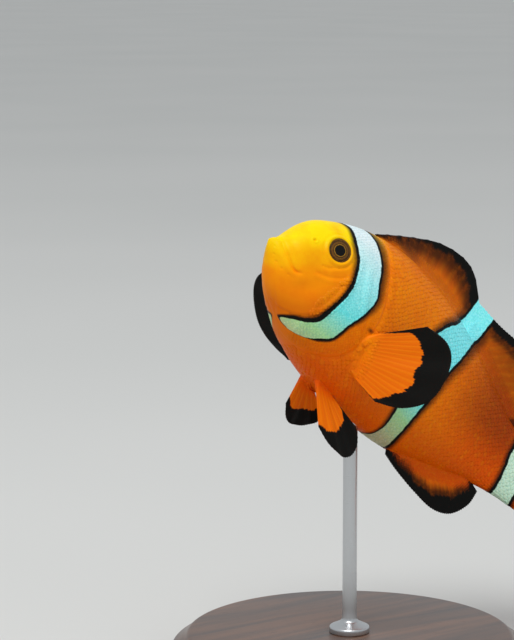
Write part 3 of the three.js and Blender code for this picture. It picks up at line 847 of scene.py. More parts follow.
def soften_joins(mesh, new_vertices, rounds=14, rings=6, ease=0.6):
    """Rounds the creases along new cuts, by easing vertices near them to their neighbours' middle."""
    first, second = read(mesh.edges, "vertices", 2, np.int32).T
    points = mesh_points(mesh)
    reach = np.zeros(len(points))
    reach[new_vertices] = 1.0
    for _ in range(rings):
        spread = reach.copy()
        np.maximum.at(spread, first, reach[second] - 1 / (rings + 1))
        np.maximum.at(spread, second, reach[first] - 1 / (rings + 1))
        reach = np.maximum(spread, 0)
    neighbours = np.bincount(np.concatenate([first, second]), minlength=len(points))[:, None]
    for _ in range(rounds):
        total = np.zeros_like(points)
        for k in range(3):
            total[:, k] = (np.bincount(first, points[second, k], len(points))
                           + np.bincount(second, points[first, k], len(points)))
        points += (total / np.maximum(neighbours, 1) - points) * (ease * reach)[:, None]
    mesh.vertices.foreach_set("co", points.astype(np.float32).ravel())
    mesh.update()


UNWRAP_LENGTH = 95.0   # mm of skin that span the unwrap
FIN_BLOCK = (0.1, 0.125)            # size of the block that one face of a fin has on it
FIN_BLOCKS_FROM = 0.79
NEW_CUT = 2e-3         # mm; a vertex farther than this from all sources was made by a union


def unwrapped(points, side):
    """A place on the unwrap of the skin: the left flank is the lower strip and the right one the upper."""
    middle = np.where(side == LEFT, 0.25, 0.75)
    return np.stack([0.02 + points[:, 0] / UNWRAP_LENGTH, middle + girth_of(points) / UNWRAP_LENGTH], -1)


def unwrapped_fin(block, t, v):
    """A place on the unwrap of one face of a fin, whose blocks stand two abreast beside the flanks."""
    origin = np.stack([FIN_BLOCKS_FROM + (block % 2) * FIN_BLOCK[0], (block // 2) * FIN_BLOCK[1]], -1)
    return origin + np.stack([t, v], -1) * np.array(FIN_BLOCK) * 0.9


def add_skin_uv(mesh, straight, block, t, v):
    """The map OFBake of the skin."""
    corners = read(mesh.loops, "vertex_index", 1, np.int32)
    starts = read(mesh.polygons, "loop_start", 1, np.int32)
    counts = read(mesh.polygons, "loop_total", 1, np.int32)
    lowest = np.minimum.reduceat(block[corners], starts)
    highest = np.maximum.reduceat(block[corners], starts)
    face_block = np.repeat(np.where(lowest == highest, lowest, -1), counts)
    y = np.add.reduceat(straight[corners, 1], starts)
    side = np.repeat(np.where(y < 0, LEFT, RIGHT), counts)
    on_body = unwrapped(straight[corners], side)
    on_fin = unwrapped_fin(np.maximum(face_block, 0), t[corners], v[corners])
    layer = mesh.uv_layers.new(name="OFBake")
    places = np.where(face_block[:, None] < 0, on_body, on_fin)
    layer.uv.foreach_set("vector", places.astype(np.float32).ravel())


def build_skin(settings):
    """One closed skin of body and fins, marked, bent and posed."""
    body = closed_object("skin", body_mesh(settings.coat_depth))
    sources = [mesh_points(body.data)]
    # for each source point: ray, out, black, smoke, t, v, block of the unwrap, whether bars show
    facts = [np.tile((0, 0, NOWHERE, 0, 0, 0, -1, 1), (len(sources[0]), 1)).astype(float)]
    others = []
    for number, fin in enumerate(all_fins()):
        front, rear, coordinates = fin_grid(fin, settings.ray_relief)
        mesh = new_mesh(fin.name, np.concatenate([front.reshape(-1, 3), rear.reshape(-1, 3)]),
                        plate_quads(*front.shape[:2]))
        others.append(closed_object(fin.name + "_shape", mesh))
        sources.append(mesh_points(mesh))
        coordinates = coordinates.reshape(-1, 6)
        for face in (0, 1):
            more = np.tile((2 * number + face, fin.barred), (len(coordinates), 1))
            facts.append(np.concatenate([coordinates, more], 1))
    join_solids(body, others)
    sources, facts = np.concatenate(sources), np.concatenate(facts)
    tree = tree_of(sources)
    mesh = body.data
    found = [tree.find(point) for point in mesh_points(mesh).tolist()]
    nearest = np.array([f[1] for f in found])
    soften_joins(mesh, np.array([f[2] for f in found]) > NEW_CUT)
    straight = mesh_points(mesh)
    ray, out, black, smoke, t, v, block, barred = facts[nearest].T
    mark(mesh, straight, ray, out, black, smoke, np.where((out > 0.25) & (barred < 0.5), 0, 1))
    add_skin_uv(mesh, straight, block.astype(int), t, v)
    mesh.vertices.foreach_set("co", posed(straight).astype(np.float32).ravel())
    mesh.update()
    mesh.polygons.foreach_set("use_smooth", np.ones(len(mesh.polygons), bool))
    mesh.materials.clear()
    mesh.materials.append(skin_material("fish_skin_satin", bpy.context.scene.clownfish_colours))
    return body


# ------------------------------------------------------------------ materials


def linear(colour):
    """An sRGB hex colour as linear red, green, blue and alpha."""
    parts = [int(colour[i:i + 2], 16) / 255 for i in (1, 3, 5)]
    return (*[c / 12.92 if c <= 0.04045 else ((c + 0.055) / 1.055) ** 2.4 for c in parts], 1.0)


def node(tree, kind, inputs=None, stops=None, **settings):
    """Adds a node: its settings, its inputs as values, sockets or nodes, and a ramp's stops."""
    made = tree.nodes.new(kind)
    for key, value in settings.items():
        setattr(made, key, value)
    for key, value in (inputs or {}).items():
        if isinstance(value, bpy.types.Node):
            value = value.outputs[0]
        if isinstance(value, bpy.types.NodeSocket):
            tree.links.new(value, made.inputs[key])
        else:
            made.inputs[key].default_value = value
    for i, (place, colour) in enumerate(stops or ()):
        elements = made.color_ramp.elements
        element = elements[i] if i < len(elements) else elements.new(place)
        element.position = place
        element.color = colour
    return made


def new_material(name):
    material = bpy.data.materials.new(name)
    material.use_nodes = True
    material.node_tree.nodes.clear()
    return material, material.node_tree


def fish_colour(tree, colours):
    """Colour of skin and scales, worked out from the stored marks; all places and widths are in mm."""
    lie = node(tree, "ShaderNodeAttribute", attribute_name="lie").outputs["Vector"]
    parts = {}
    for name in ("lie", "bars", "fin", "place"):
        stored = node(tree, "ShaderNodeAttribute", attribute_name=name).outputs["Vector"]
        parts[name] = node(tree, "ShaderNodeSeparateXYZ", {0: stored}).outputs
    back, _, _ = parts["lie"]
    bar, line_width, haze_and_shade_amount = parts["bars"]
    ray, out, margin = parts["fin"]
    girth, tint, rim = parts["place"]
    wobble = node(tree, "ShaderNodeTexNoise", {"Vector": lie, "Scale": 0.9, "Detail": 3.0, "Roughness": 0.6})
    mottle = node(tree, "ShaderNodeTexNoise", {"Vector": lie, "Scale": 0.22, "Detail": 4.0,
                                               "Roughness": 0.55})
    shake = node(tree, "ShaderNodeMath", {0: wobble, 1: 0.5}, operation="SUBTRACT")

    # head: yellow on the brow and snout, through gold, to orange under the cheek, partly the fish's own
    # colour and partly painted light, brighter on top and darker underneath
    ahead = node(tree, "ShaderNodeMapRange", {0: back, 1: 19.0, 2: 0.0, 3: -8.0, 4: 7.2})
    raised = node(tree, "ShaderNodeMath", {0: girth, 1: ahead}, operation="ADD")
    up_head = node(tree, "ShaderNodeMapRange", {0: raised, 1: -10.0, 2: 10.0})
    head = node(tree, "ShaderNodeValToRGB", {0: up_head}, stops=(
        (0.05, colours.throat), (0.3, colours.jowl), (0.5, colours.cheek), (0.62, colours.temple),
        (0.72, colours.brow), (0.84, colours.forehead)))

    # flank and rear: deep orange, redder on the belly and towards the tail, partly the fish's own colour and
    # partly painted shade, darker on the belly, along the back and towards the tail
    up_flank = node(tree, "ShaderNodeMapRange", {0: girth, 1: -16.0, 2: 16.0})
    flank = node(tree, "ShaderNodeValToRGB", {0: up_flank}, stops=(
        (0.08, colours.breast), (0.35, colours.flank), (0.8, colours.flank), (1.0, colours.ridge)))
    trunk_share = node(tree, "ShaderNodeMapRange", {0: back, 1: 12.0, 2: 20.0},
                       interpolation_type="SMOOTHSTEP")
    rear_share = node(tree, "ShaderNodeMapRange", {0: back, 1: 36.0, 2: 60.0},
                      interpolation_type="SMOOTHSTEP")
    flush = node(tree, "ShaderNodeMapRange", {0: mottle, 1: 0.45, 2: 0.75, 4: 0.35})

    # fins: rays paler than the membrane between them, with a joint across them every 0.45 mm
    on_fin = node(tree, "ShaderNodeMapRange", {0: out, 1: 0.6, 2: 3.2}, interpolation_type="SMOOTHSTEP")
    turn = node(tree, "ShaderNodeMath", {0: ray, 1: 2 * math.pi}, operation="MULTIPLY")
    wave = node(tree, "ShaderNodeMath", {0: turn}, operation="COSINE")
    streak = node(tree, "ShaderNodeMapRange", {0: wave, 1: 0.2, 2: -1.0, 4: 0.4})
    streak = node(tree, "ShaderNodeMath", {0: streak, 1: on_fin}, operation="MULTIPLY")
    joints = node(tree, "ShaderNodeMath", {0: out, 1: 14.0}, operation="MULTIPLY")
    joints = node(tree, "ShaderNodeMath", {0: joints}, operation="SINE")
    joints = node(tree, "ShaderNodeMapRange", {0: joints, 1: 0.6, 2: 1.0, 4: 0.35})
    joints = node(tree, "ShaderNodeMath", {0: joints, 1: streak}, operation="MULTIPLY")

    # scales: each a little lighter or darker, with a darker rim
    paler = node(tree, "ShaderNodeMapRange", {0: tint, 1: 0.0, 2: 1.0, 4: 0.1})
    darker = node(tree, "ShaderNodeMapRange", {0: tint, 1: 0.0, 2: -1.0, 4: 0.14})
    rimmed = node(tree, "ShaderNodeMapRange", {0: rim, 1: 0.55, 2: 1.0, 4: 0.08})

    # black: fin margins, and a line round each white bar, with a brown haze where it fades; the same brown,
    # partly painted shade in the fins' haze, is painted shade along the back, over the rump and in the crook
    # of the pectoral fin
    edge = node(tree, "ShaderNodeMath", {0: shake, 1: 0.4, 2: bar}, operation="MULTIPLY_ADD")
    reach = node(tree, "ShaderNodeMath", {0: edge, 1: line_width}, operation="ADD")
    lined = node(tree, "ShaderNodeMapRange", {0: reach, 1: -0.12, 2: 0.14}, interpolation_type="SMOOTHSTEP")
    frayed = node(tree, "ShaderNodeMath", {0: shake, 1: 0.6, 2: margin}, operation="MULTIPLY_ADD")
    margin_mask = node(tree, "ShaderNodeMapRange", {0: frayed, 1: -0.14, 2: 0.14},
                       interpolation_type="SMOOTHSTEP")
    black = node(tree, "ShaderNodeMath", {0: lined, 1: margin_mask}, operation="MAXIMUM")
    brown_haze_and_shade = node(tree, "ShaderNodeMath", {0: shake, 1: 0.5, 2: haze_and_shade_amount}, operation="MULTIPLY_ADD")
    brown_haze_and_shade = node(tree, "ShaderNodeMath", {0: brown_haze_and_shade, 1: haze_and_shade_amount}, operation="MINIMUM")
    brown_haze_and_shade = node(tree, "ShaderNodeMath", {0: brown_haze_and_shade, 1: 0.0}, operation="MAXIMUM")

    tone = head
    layers = (
        (trunk_share, flank), (rear_share, colours.rear), (flush, colours.rear), (on_fin, colours.fin),
        (streak, colours.ray), (joints, colours.fin), (paler, colours.brow), (darker, colours.rear),
        (rimmed, colours.rear), (brown_haze_and_shade, colours.brown_haze_and_shade), (black, colours.black),
    )
    for share, colour in layers:
        tone = node(tree, "ShaderNodeMix", {0: share, 6: tone, 7: colour}, data_type="RGBA").outputs[2]

    # white: icy on the back, cyan on the flank and greenish below, in a fine mosaic of paler cells; the cyan
    # is a painted tint of blue light, and the green and grey green below are painted reflected light and
    # shade
    up_bar = node(tree, "ShaderNodeMapRange", {0: girth, 1: -14.0, 2: 14.0})
    ice = node(tree, "ShaderNodeValToRGB", {0: up_bar}, stops=(
        (0.02, colours.bar_belly), (0.2, colours.bar_throat), (0.38, colours.bar_cheek),
        (0.62, colours.bar_flank), (0.85, colours.bar_back)))
    cells = node(tree, "ShaderNodeTexVoronoi", {"Vector": lie, "Scale": 2.9, "Randomness": 0.9})
    centres = node(tree, "ShaderNodeMapRange", {0: cells.outputs["Distance"], 1: 0.5, 2: 0.1, 4: 0.4})
    patchy = node(tree, "ShaderNodeMath", {0: centres, 1: cells.outputs["Color"]}, operation="MULTIPLY")
    seams = node(tree, "ShaderNodeMapRange", {0: cells.outputs["Distance"], 1: 0.45, 2: 0.75, 4: 0.2})
    tail_share = node(tree, "ShaderNodeMapRange", {0: back, 1: 50.0, 2: 60.0, 4: 0.9})
    deep_share = node(tree, "ShaderNodeMapRange", {0: back, 1: 22.0, 2: 34.0, 4: 0.9})
    upper_share = node(tree, "ShaderNodeMapRange", {0: girth, 1: -9.0, 2: 2.0})
    deep_share = node(tree, "ShaderNodeMath", {0: deep_share, 1: upper_share}, operation="MULTIPLY")
    white = ice
    for share, colour in ((deep_share, colours.bar_deep), (tail_share, colours.bar_tail),
                          (patchy, colours.bar_back), (seams, colours.bar_seam)):
        white = node(tree, "ShaderNodeMix", {0: share, 6: white, 7: colour}, data_type="RGBA").outputs[2]
    inside = node(tree, "ShaderNodeMapRange", {0: edge, 1: -0.02, 2: 0.16}, interpolation_type="SMOOTHSTEP")
    whole = node(tree, "ShaderNodeMix", {0: inside, 6: tone, 7: white}, data_type="RGBA")
    return whole.outputs[2], lie


def skin_material(name, colours):
    # Living fish skin under a thin film of mucus: satin and slightly translucent, with a faint wet gloss.
    material, tree = new_material(name)
    colour, lie = fish_colour(tree, colours)
    pores = node(tree, "ShaderNodeTexNoise", {"Vector": lie, "Scale": 7.0, "Detail": 3.0})
    shader = node(tree, "ShaderNodeBsdfPrincipled", {
        "Base Color": colour,
        "Normal": node(tree, "ShaderNodeBump", {"Height": pores, "Strength": 0.3, "Distance": 0.00004}),
        "Roughness": node(tree, "ShaderNodeMapRange", {0: pores, 3: 0.36, 4: 0.52}),
        "Specular IOR Level": 0.07, "Coat Weight": 0.03, "Coat Roughness": 0.25,
        "Subsurface Weight": 0.1, "Subsurface Radius": (1.0, 0.4, 0.15), "Subsurface Scale": MM,
    })
    node(tree, "ShaderNodeOutputMaterial", {"Surface": shader})
    return material


def eye_material(colours, pupil, iris):
    # A wet cornea over a dark iris: a clear gloss over a black pupil in a thin gold ring, and a brown
    # iris with flecks of gold.
    material, tree = new_material("wet_eye")
    disc = node(tree, "ShaderNodeAttribute", attribute_name="disc").outputs["Vector"]
    from_axis = node(tree, "ShaderNodeSeparateXYZ", {0: disc}).outputs[2]
    fibres = node(tree, "ShaderNodeTexNoise", {"Vector": disc, "Scale": 3.0, "Detail": 4.0})
    ragged = node(tree, "ShaderNodeMath", {0: fibres, 1: 0.2, 2: from_axis}, operation="MULTIPLY_ADD")
    span = iris + 0.4
    share = node(tree, "ShaderNodeMapRange", {0: ragged, 1: 0.1, 2: span + 0.1})
    rings = node(tree, "ShaderNodeValToRGB", {0: share}, stops=(
        (0.0, colours.pupil),
        ((pupil - 0.05) / span, colours.pupil),
        ((pupil + 0.05) / span, colours.gold),
        ((pupil + 0.12) / span, colours.iris_dark),
        ((pupil + 0.4) / span, colours.iris),
        ((iris - 0.35) / span, colours.iris_dark),
        ((iris - 0.05) / span, colours.iris),
        ((iris + 0.1) / span, colours.iris_dark),
    ))
    flecks = node(tree, "ShaderNodeTexNoise", {"Vector": disc, "Scale": 9.0, "Detail": 2.0})
    fleck_share = node(tree, "ShaderNodeMapRange", {0: flecks, 1: 0.55, 2: 0.75, 4: 0.5})
    off_pupil = node(tree, "ShaderNodeMapRange", {0: from_axis, 1: pupil, 2: pupil + 0.15})
    fleck_share = node(tree, "ShaderNodeMath", {0: fleck_share, 1: off_pupil}, operation="MULTIPLY")
    flecked = node(tree, "ShaderNodeMix", {0: fleck_share, 6: rings, 7: colours.gold}, data_type="RGBA")
    shader = node(tree, "ShaderNodeBsdfPrincipled", {
        "Base Color": flecked.outputs[2], "Roughness": 0.3, "Specular IOR Level": 0.06,
        "Coat Weight": 0.28, "Coat Roughness": 0.03,
    })
    node(tree, "ShaderNodeOutputMaterial", {"Surface": shader})
    return material


def wood_material(colours):
    # Turned walnut under satin lacquer: brown figure, 40 mm long and 3.5 mm wide, with fine dark pores,
    # 3 mm long and 0.25 mm wide.
    material, tree = new_material("walnut_satin_lacquer")
    place = node(tree, "ShaderNodeNewGeometry").outputs["Position"]
    stretched = node(tree, "ShaderNodeVectorMath", {0: place, 1: (1000 / 40, 1000 / 3.5, 1000 / 3.5)},
                     operation="MULTIPLY")
    figure = node(tree, "ShaderNodeTexNoise", {"Vector": stretched, "Scale": 1.0, "Detail": 6.0,
                                               "Distortion": 0.8})
    wood = node(tree, "ShaderNodeValToRGB", {0: figure}, stops=(
        (0.3, colours.wood_dark), (0.7, colours.wood_pale)))
    pores_at = node(tree, "ShaderNodeVectorMath", {0: place, 1: (1000 / 3, 1000 / 0.25, 1000 / 0.25)},
                    operation="MULTIPLY")
    pores = node(tree, "ShaderNodeTexNoise", {"Vector": pores_at, "Scale": 1.0, "Detail": 2.0})
    pitted = node(tree, "ShaderNodeMapRange", {0: pores, 1: 0.62, 2: 0.7, 4: 0.7})
    grain = node(tree, "ShaderNodeMix", {0: pitted, 6: wood, 7: colours.wood_dark}, data_type="RGBA")
    bump = node(tree, "ShaderNodeBump", {"Height": pitted, "Strength": 0.3, "Distance": 0.00008},
                invert=True)
    shader = node(tree, "ShaderNodeBsdfPrincipled", {
        "Base Color": grain.outputs[2], "Normal": bump, "Roughness": 0.38,
        "Coat Weight": 0.35, "Coat Roughness": 0.18,
    })
    node(tree, "ShaderNodeOutputMaterial", {"Surface": shader})
    return material


def steel_material(colours):
    # Drawn stainless steel: a grey metal with fine lines round it, 0.1 mm apart, that soften its highlight.
    material, tree = new_material("drawn_stainless_steel")
    place = node(tree, "ShaderNodeNewGeometry").outputs["Position"]
    lines_at = node(tree, "ShaderNodeVectorMath", {0: place, 1: (200.0, 200.0, 9000.0)},
                    operation="MULTIPLY")
    lines = node(tree, "ShaderNodeTexNoise", {"Vector": lines_at, "Scale": 1.0, "Detail": 2.0})
    shader = node(tree, "ShaderNodeBsdfPrincipled", {
        "Base Color": colours.steel,
        "Metallic": 1.0,
        "Roughness": node(tree, "ShaderNodeMapRange", {0: lines, 3: 0.22, 4: 0.4}),
        "Normal": node(tree, "ShaderNodeBump", {"Height": lines, "Strength": 0.15, "Distance": 0.00002}),
    })
    node(tree, "ShaderNodeOutputMaterial", {"Surface": shader})
    return material


def floor_material(colours):
    # Matt painted board: an even pale ground with the faintest mottle, about 170 mm across.
    material, tree = new_material("matt_pale_board")
    place = node(tree, "ShaderNodeNewGeometry").outputs["Position"]
    mottle = node(tree, "ShaderNodeTexNoise", {"Vector": place, "Scale": 6.0, "Detail": 1.0})
    tone = node(tree, "ShaderNodeValToRGB", {0: mottle}, stops=(
        (0.0, colours.floor), (1.0, colours.floor_light)))
    shader = node(tree, "ShaderNodeBsdfPrincipled", {
        "Base Color": tone, "Roughness": 0.8, "Specular IOR Level": 0.2,
    })
    node(tree, "ShaderNodeOutputMaterial", {"Surface": shader})
    return material


# ------------------------------------------------------------------ scales

# One scale's outline seen from above: share of its length back from the root, share of its half width.
SCALE_ROWS = ((-0.2, 0.6), (0.3, 0.97), (0.62, 1.0), (0.83, 0.82), (0.95, 0.5), (1.0, 0.15))
SCALE_COLUMNS = (-1.0, -0.5, 0.0, 0.5, 1.0)
SCALE_LENGTH = 1.45    # as a share of the rows' spacing
SCALE_HALF_WIDTH = 0.68
MOST_ROWS = 45         # of scales above and below the flank's middle
SCALE_PATCH = 0.003    # side of a scale's patch of the unwrap, whose own side is 1
PIECE_SCALES = 1650    # most scales in one piece
FIN_COAT_FROM = -1.0   # where a fin's first row of scales stands, out from the body's surface
FIN_COAT_SHARE = 0.7   # share of a ray that scales may cover
WIDTH_ROW = 20         # the row of a fin's grid on which its scales are counted out


def scale_roots(spacing, from_x, to_x, keep):
    """Staggered rows of roots along one flank, as (distance back, girth), where keep allows."""
    found = []
    for k in range(-MOST_ROWS, MOST_ROWS + 1):
        x = np.arange(from_x, to_x, spacing) + (spacing / 2 if k % 2 else 0)
        girth = np.full(len(x), k * spacing / 2)
        rows = girth_row(station_at(x))
        top = between(GIRTH, rows, np.full(len(x), GIRTH.shape[1] - 1.0))
        bottom = between(GIRTH, rows, np.zeros(len(x)))
        inside = (girth < top - 0.1) & (girth > bottom + 0.1)
        found.append(np.stack([x[inside], girth[inside]], -1))
    found = np.concatenate(found)
    return found[keep(*found.T)]


def scale_plates(roots, backs, sides, ups, spans, lifts):
    """Closed thin plates, one at each root: points, faces, and each point's share back from its root."""
    rows, columns = len(SCALE_ROWS), len(SCALE_COLUMNS)
    a = np.array([r[0] for r in SCALE_ROWS])[:, None] * np.ones(columns)
    b = np.array([r[1] for r in SCALE_ROWS])[:, None] * np.array(SCALE_COLUMNS)
    # a scale rises from its root to its free end; the sides of its root are tucked under its neighbours
    tucked = b**2 * (1 - smoothstep(0.5, 0.95, a))
    top = 0.85 * smoothstep(-0.2, 0.8, a) - 0.9 * tucked + 0.15
    under = top - 0.35 - 0.25 * (a < 0)
    plate = np.concatenate([np.stack([a, b, height], -1).reshape(-1, 3) for height in (under, top)])
    points = (roots[:, None, :]
              + backs[:, None, :] * plate[None, :, 0:1] * SCALE_LENGTH * spans[:, None, None]
              + sides[:, None, :] * plate[None, :, 1:2] * SCALE_HALF_WIDTH * spans[:, None, None]
              + ups[:, None, :] * plate[None, :, 2:3] * lifts[:, None, None])
    faces = plate_quads(rows, columns)[None] + (np.arange(len(roots)) * len(plate))[:, None, None]
    return points, faces.reshape(-1, 4), np.tile(plate[:, 0], (len(roots), 1))


def on_trunk(x, girth):
    return GILL_EDGE.at(x, girth)[0] > 0.3


def on_cheek(x, girth):
    """Where the head's scales grow: behind the face, off the eyes, and short of the gill opening."""
    points = ring_point(station_at(x), angle_at(station_at(x), girth))
    clear = off_eye_axis(points, RIGHT) > EYE_OPENING + 1.6
    return clear & (SCALES_BEGIN.at(x, girth)[0] > 0) & (GILL_EDGE.at(x, girth)[0] < -0.8)


def body_coat(settings):
    """Scales of the head and trunk, as one coat for each flank of each.

    A coat is a row of arrays: the scales' roots, ways back, spans, lifts, sides and fin marks, which
    are the distance out along the rays, the black and the smoke.
    """
    depth = settings.coat_depth
    # spacing, from how far back to how far back, and where they may grow
    areas = (
        (settings.head_scale, 6.0, 24.0, on_cheek),
        (settings.body_scale, 15.0, BODY_LENGTH - 0.6, on_trunk),
    )
    coats = []
    for spacing, from_x, to_x, keep in areas:
        x, girth = scale_roots(spacing, from_x, to_x, keep).T
        t = station_at(x)
        angle = angle_at(t, girth)
        behind_face = SCALES_BEGIN.at(x, girth)[0]
        off_gill = 0.6 + 0.4 * smoothstep(0.4, 2.4, np.abs(GILL_EDGE.at(x, girth)[0]))
        grown = (1 - 0.3 * smoothstep(52, 70, x)) * off_gill
        span = spacing * np.maximum(grown, 0.75) * (0.75 + 0.25 * smoothstep(0, 4, behind_face))
        lift = depth * grown * (0.25 + 0.75 * smoothstep(0, 6, behind_face))
        unmarked = 0 * t
        for side, turned in ((RIGHT, angle), (LEFT, math.pi - angle)):
            backs = ring_point(t + 0.02, turned, -depth) - ring_point(t, turned, -depth)
            coats.append((skin_point(t, turned, depth), unit(backs), span, lift, unmarked + side,
                          unmarked, unmarked + NOWHERE, unmarked))
    return coats


def fin_coat(fin, settings):
    """The same for the small scales on both faces of a fin.

    They lie tailwards at its root and along its rays farther out, where they are smaller.
    """
    front, rear, coordinates = fin_grid(fin, settings.ray_relief)
    spacing = settings.fin_scale
    out, black, smoke = (coordinates[..., k] for k in (1, 2, 3))
    coats = []
    for face in (front, rear):
        width = np.linalg.norm(np.diff(face[:, WIDTH_ROW], axis=0), axis=-1).sum()
        count = max(int(width / spacing), 3)
        column, row = [], []
        # staggered rows, clear of the first and last rays
        for k, wanted in enumerate(np.arange(FIN_COAT_FROM, fin.scaled, spacing / 2)):
            places = (0.1 + 0.8 * (np.arange(count) + (k % 2) / 2 + 0.25) / count) * (len(face) - 1)
            near = np.round(places).astype(int)
            kept = wanted < FIN_COAT_SHARE * out[near, -1]
            column.append(places[kept])
            row.append(np.array([np.interp(wanted, out[i], np.arange(out.shape[1])) for i in near[kept]]))
        column, row = np.concatenate(column), np.concatenate(row)
        roots = between(face, column, row)
        marks = [between(table, column, row) for table in (out, black, smoke)]
        outward = unit(between(face, column, row + 1.5) - roots)
        share = smoothstep(-0.5, 2.0, marks[0])[:, None]
        backs = unit(outward * share + np.array((1.0, 0.0, 0.0)) * (1 - share))
        fade = 1 - 0.6 * np.clip(marks[0] / fin.scaled, 0, 1)
        lift = settings.coat_depth * 0.5 * fade
        coats.append((roots, backs, spacing * fade, lift, np.where(roots[:, 1] < 0, LEFT, RIGHT), *marks))
    return coats


class Surface:
    """The finished skin of the straight fish, on which the scales are laid."""

    near = 0.4             # mm; a root farther than this from the skin is hidden in the flesh of a fin

    def __init__(self, skin):
        self.points = read(skin.attributes["lie"].data, "vector", 3).astype(float)
        self.out = read(skin.attributes["fin"].data, "vector", 3)[:, 1]
        skin.calc_loop_triangles()
        corners = read(skin.loop_triangles, "vertices", 3, np.int32).T
        a, b, c = (self.points[corner] for corner in corners)
        faces = np.cross(b - a, c - a)
        count = len(self.points)
        total = [sum(np.bincount(corner, faces[:, k], count) for corner in corners) for k in range(3)]
        self.normals = unit(np.stack(total, -1))
        self.tree = tree_of(self.points)

    def lay(self, coat, on_fin):
        """A coat brought onto the skin of the fins or of the body, with the ways across and out added."""
        roots, backs, *rest = coat
        nearest = np.array([self.tree.find(root)[1] for root in roots.tolist()])
        ups = self.normals[nearest]
        off = np.einsum("ij,ij->i", self.points[nearest] - roots, ups)
        roots = roots + ups * off[:, None]
        backs = unit(backs - ups * np.einsum("ij,ij->i", backs, ups)[:, None])
        kept = (np.abs(off) < self.near) & ((self.out[nearest] != 0) == on_fin)
        return [column[kept] for column in (roots, backs, np.cross(ups, backs), ups, *rest)]


def scale_piece(name, coat, bars_shown, material):
    """A piece of the coat, marked as the skin is and posed; its map OFBake puts each scale at its root."""
    roots, backs, sides, ups, spans, lifts, side, *marks = coat
    # no two scales have quite the same lean, span, lift and tint
    chance = np.random.default_rng(len(name) + len(roots))
    lean = chance.normal(0, 0.05, len(roots))[:, None]
    backs, sides = unit(backs + sides * lean), unit(sides - backs * lean)
    spans = spans * chance.uniform(0.94, 1.06, len(roots))
    lifts = lifts * chance.uniform(0.85, 1.1, len(roots))
    points, faces, share = scale_plates(roots, backs, sides, ups, spans, lifts)
    each = points.shape[1]
    straight = points.reshape(-1, 3)
    tint = np.clip(chance.normal(0, 0.45, len(roots)), -1, 1)
    tint, *marks = (np.repeat(values, each) for values in (tint, *marks))
    mesh = new_mesh(name, posed(straight), faces)
    mark(mesh, straight, 0.0, *marks, bars_shown, tint, share.ravel())
    local = np.stack([np.linspace(0, 1, each), np.linspace(0, 7, each) % 1], -1)
    local = np.tile((local - 0.5) * SCALE_PATCH, (len(roots), 1))
    places = np.repeat(unwrapped(roots, side), each, axis=0) + local
    corners = read(mesh.loops, "vertex_index", 1, np.int32)
    mesh.uv_layers.new(name="OFBake").uv.foreach_set("vector", places[corners].astype(np.float32).ravel())
    return new_object(name, mesh, material)


def build_scales(skin, settings):
    """The coat: overlapping scales on the body and over the roots of the fins, smallest on the head."""
    material = skin_material("fish_scales_satin", bpy.context.scene.clownfish_colours)
    surface = Surface(skin)
    pieces = []
    for word, coat in zip(("cheek_right", "cheek_left", "trunk_right", "trunk_left"), body_coat(settings)):
        coat = surface.lay(coat, on_fin=False)
        order = np.argsort(coat[0][:, 0], kind="stable")
        parts = np.array_split(order, math.ceil(len(order) / PIECE_SCALES))
        for k, part in enumerate(parts):
            share = [column[part] for column in coat]
            pieces.append(scale_piece(f"scales_{word}_{k + 1}", share, 1, material))
    for fin in all_fins():
        both_faces = [np.concatenate(column) for column in zip(*fin_coat(fin, settings))]
        coat = surface.lay(both_faces, on_fin=True)
        pieces.append(scale_piece(f"scales_{fin.name}", coat, fin.barred, material))
    return pieces


# ------------------------------------------------------------------ eyes

EYE_RINGS, EYE_SIDES = 90, 72


def build_eye(side, settings, colours):
    """An eyeball turned on a lathe, flatter in front, looking out square to the cheek."""
    polar = np.linspace(math.pi, 0, EYE_RINGS)
    off_axis = EYE_RADIUS * np.sin(polar)
    height = EYE_RADIUS * np.cos(polar)
    cap = EYE_SHOWN + settings.cornea * (1 - (off_axis / EYE_OPENING) ** 2)
    height = np.where((height > 0) & (off_axis < EYE_OPENING), cap, height)
    local, faces = lathe(np.stack([off_axis, height], -1), EYE_SIDES)
    # what the material reads: the place across the eye and the distance off its axis, far on the back
    off_axis = np.where(local[:, 2] > 0, np.hypot(local[:, 0], local[:, 1]), 9.0)
    disc = np.stack([local[:, 0], local[:, 1], off_axis], -1)
    axis = eye_axis(side)
    up = unit(np.cross(axis, np.cross((0.0, 0.0, 1.0), axis)))
    points = eye_centre(side) + local @ np.stack([np.cross(up, axis), up, axis])
    name = "eyeball_left" if side == LEFT else "eyeball_right"
    mesh = new_mesh(name, posed(points), faces)
    set_attribute(mesh, "disc", disc)
    return new_object(name, mesh, eye_material(colours, settings.pupil, settings.iris))


# ------------------------------------------------------------------ stand, in mm

MOULDING = 2.2         # height of the moulding round the base
HOLE_RADIUS, HOLE_DEPTH = 1.5, 3    # the hole in the base that takes the rod
ROD_RADIUS, COLLAR_RADIUS = 1.2, 3.4
BASE_SIDES, ROD_SIDES = 160, 64


def rounded(corner, before, after, radius, steps=6):
    """Points of a rounded corner of an outline, from the way in to the way out."""
    corner, before, after = (np.array(p, float) for p in (corner, before, after))
    start = corner + unit(before - corner) * radius
    end = corner + unit(after - corner) * radius
    share = np.linspace(0, 1, steps)[:, None]
    return [tuple(p) for p in (1 - share) ** 2 * start + 2 * share * (1 - share) * corner + share**2 * end]


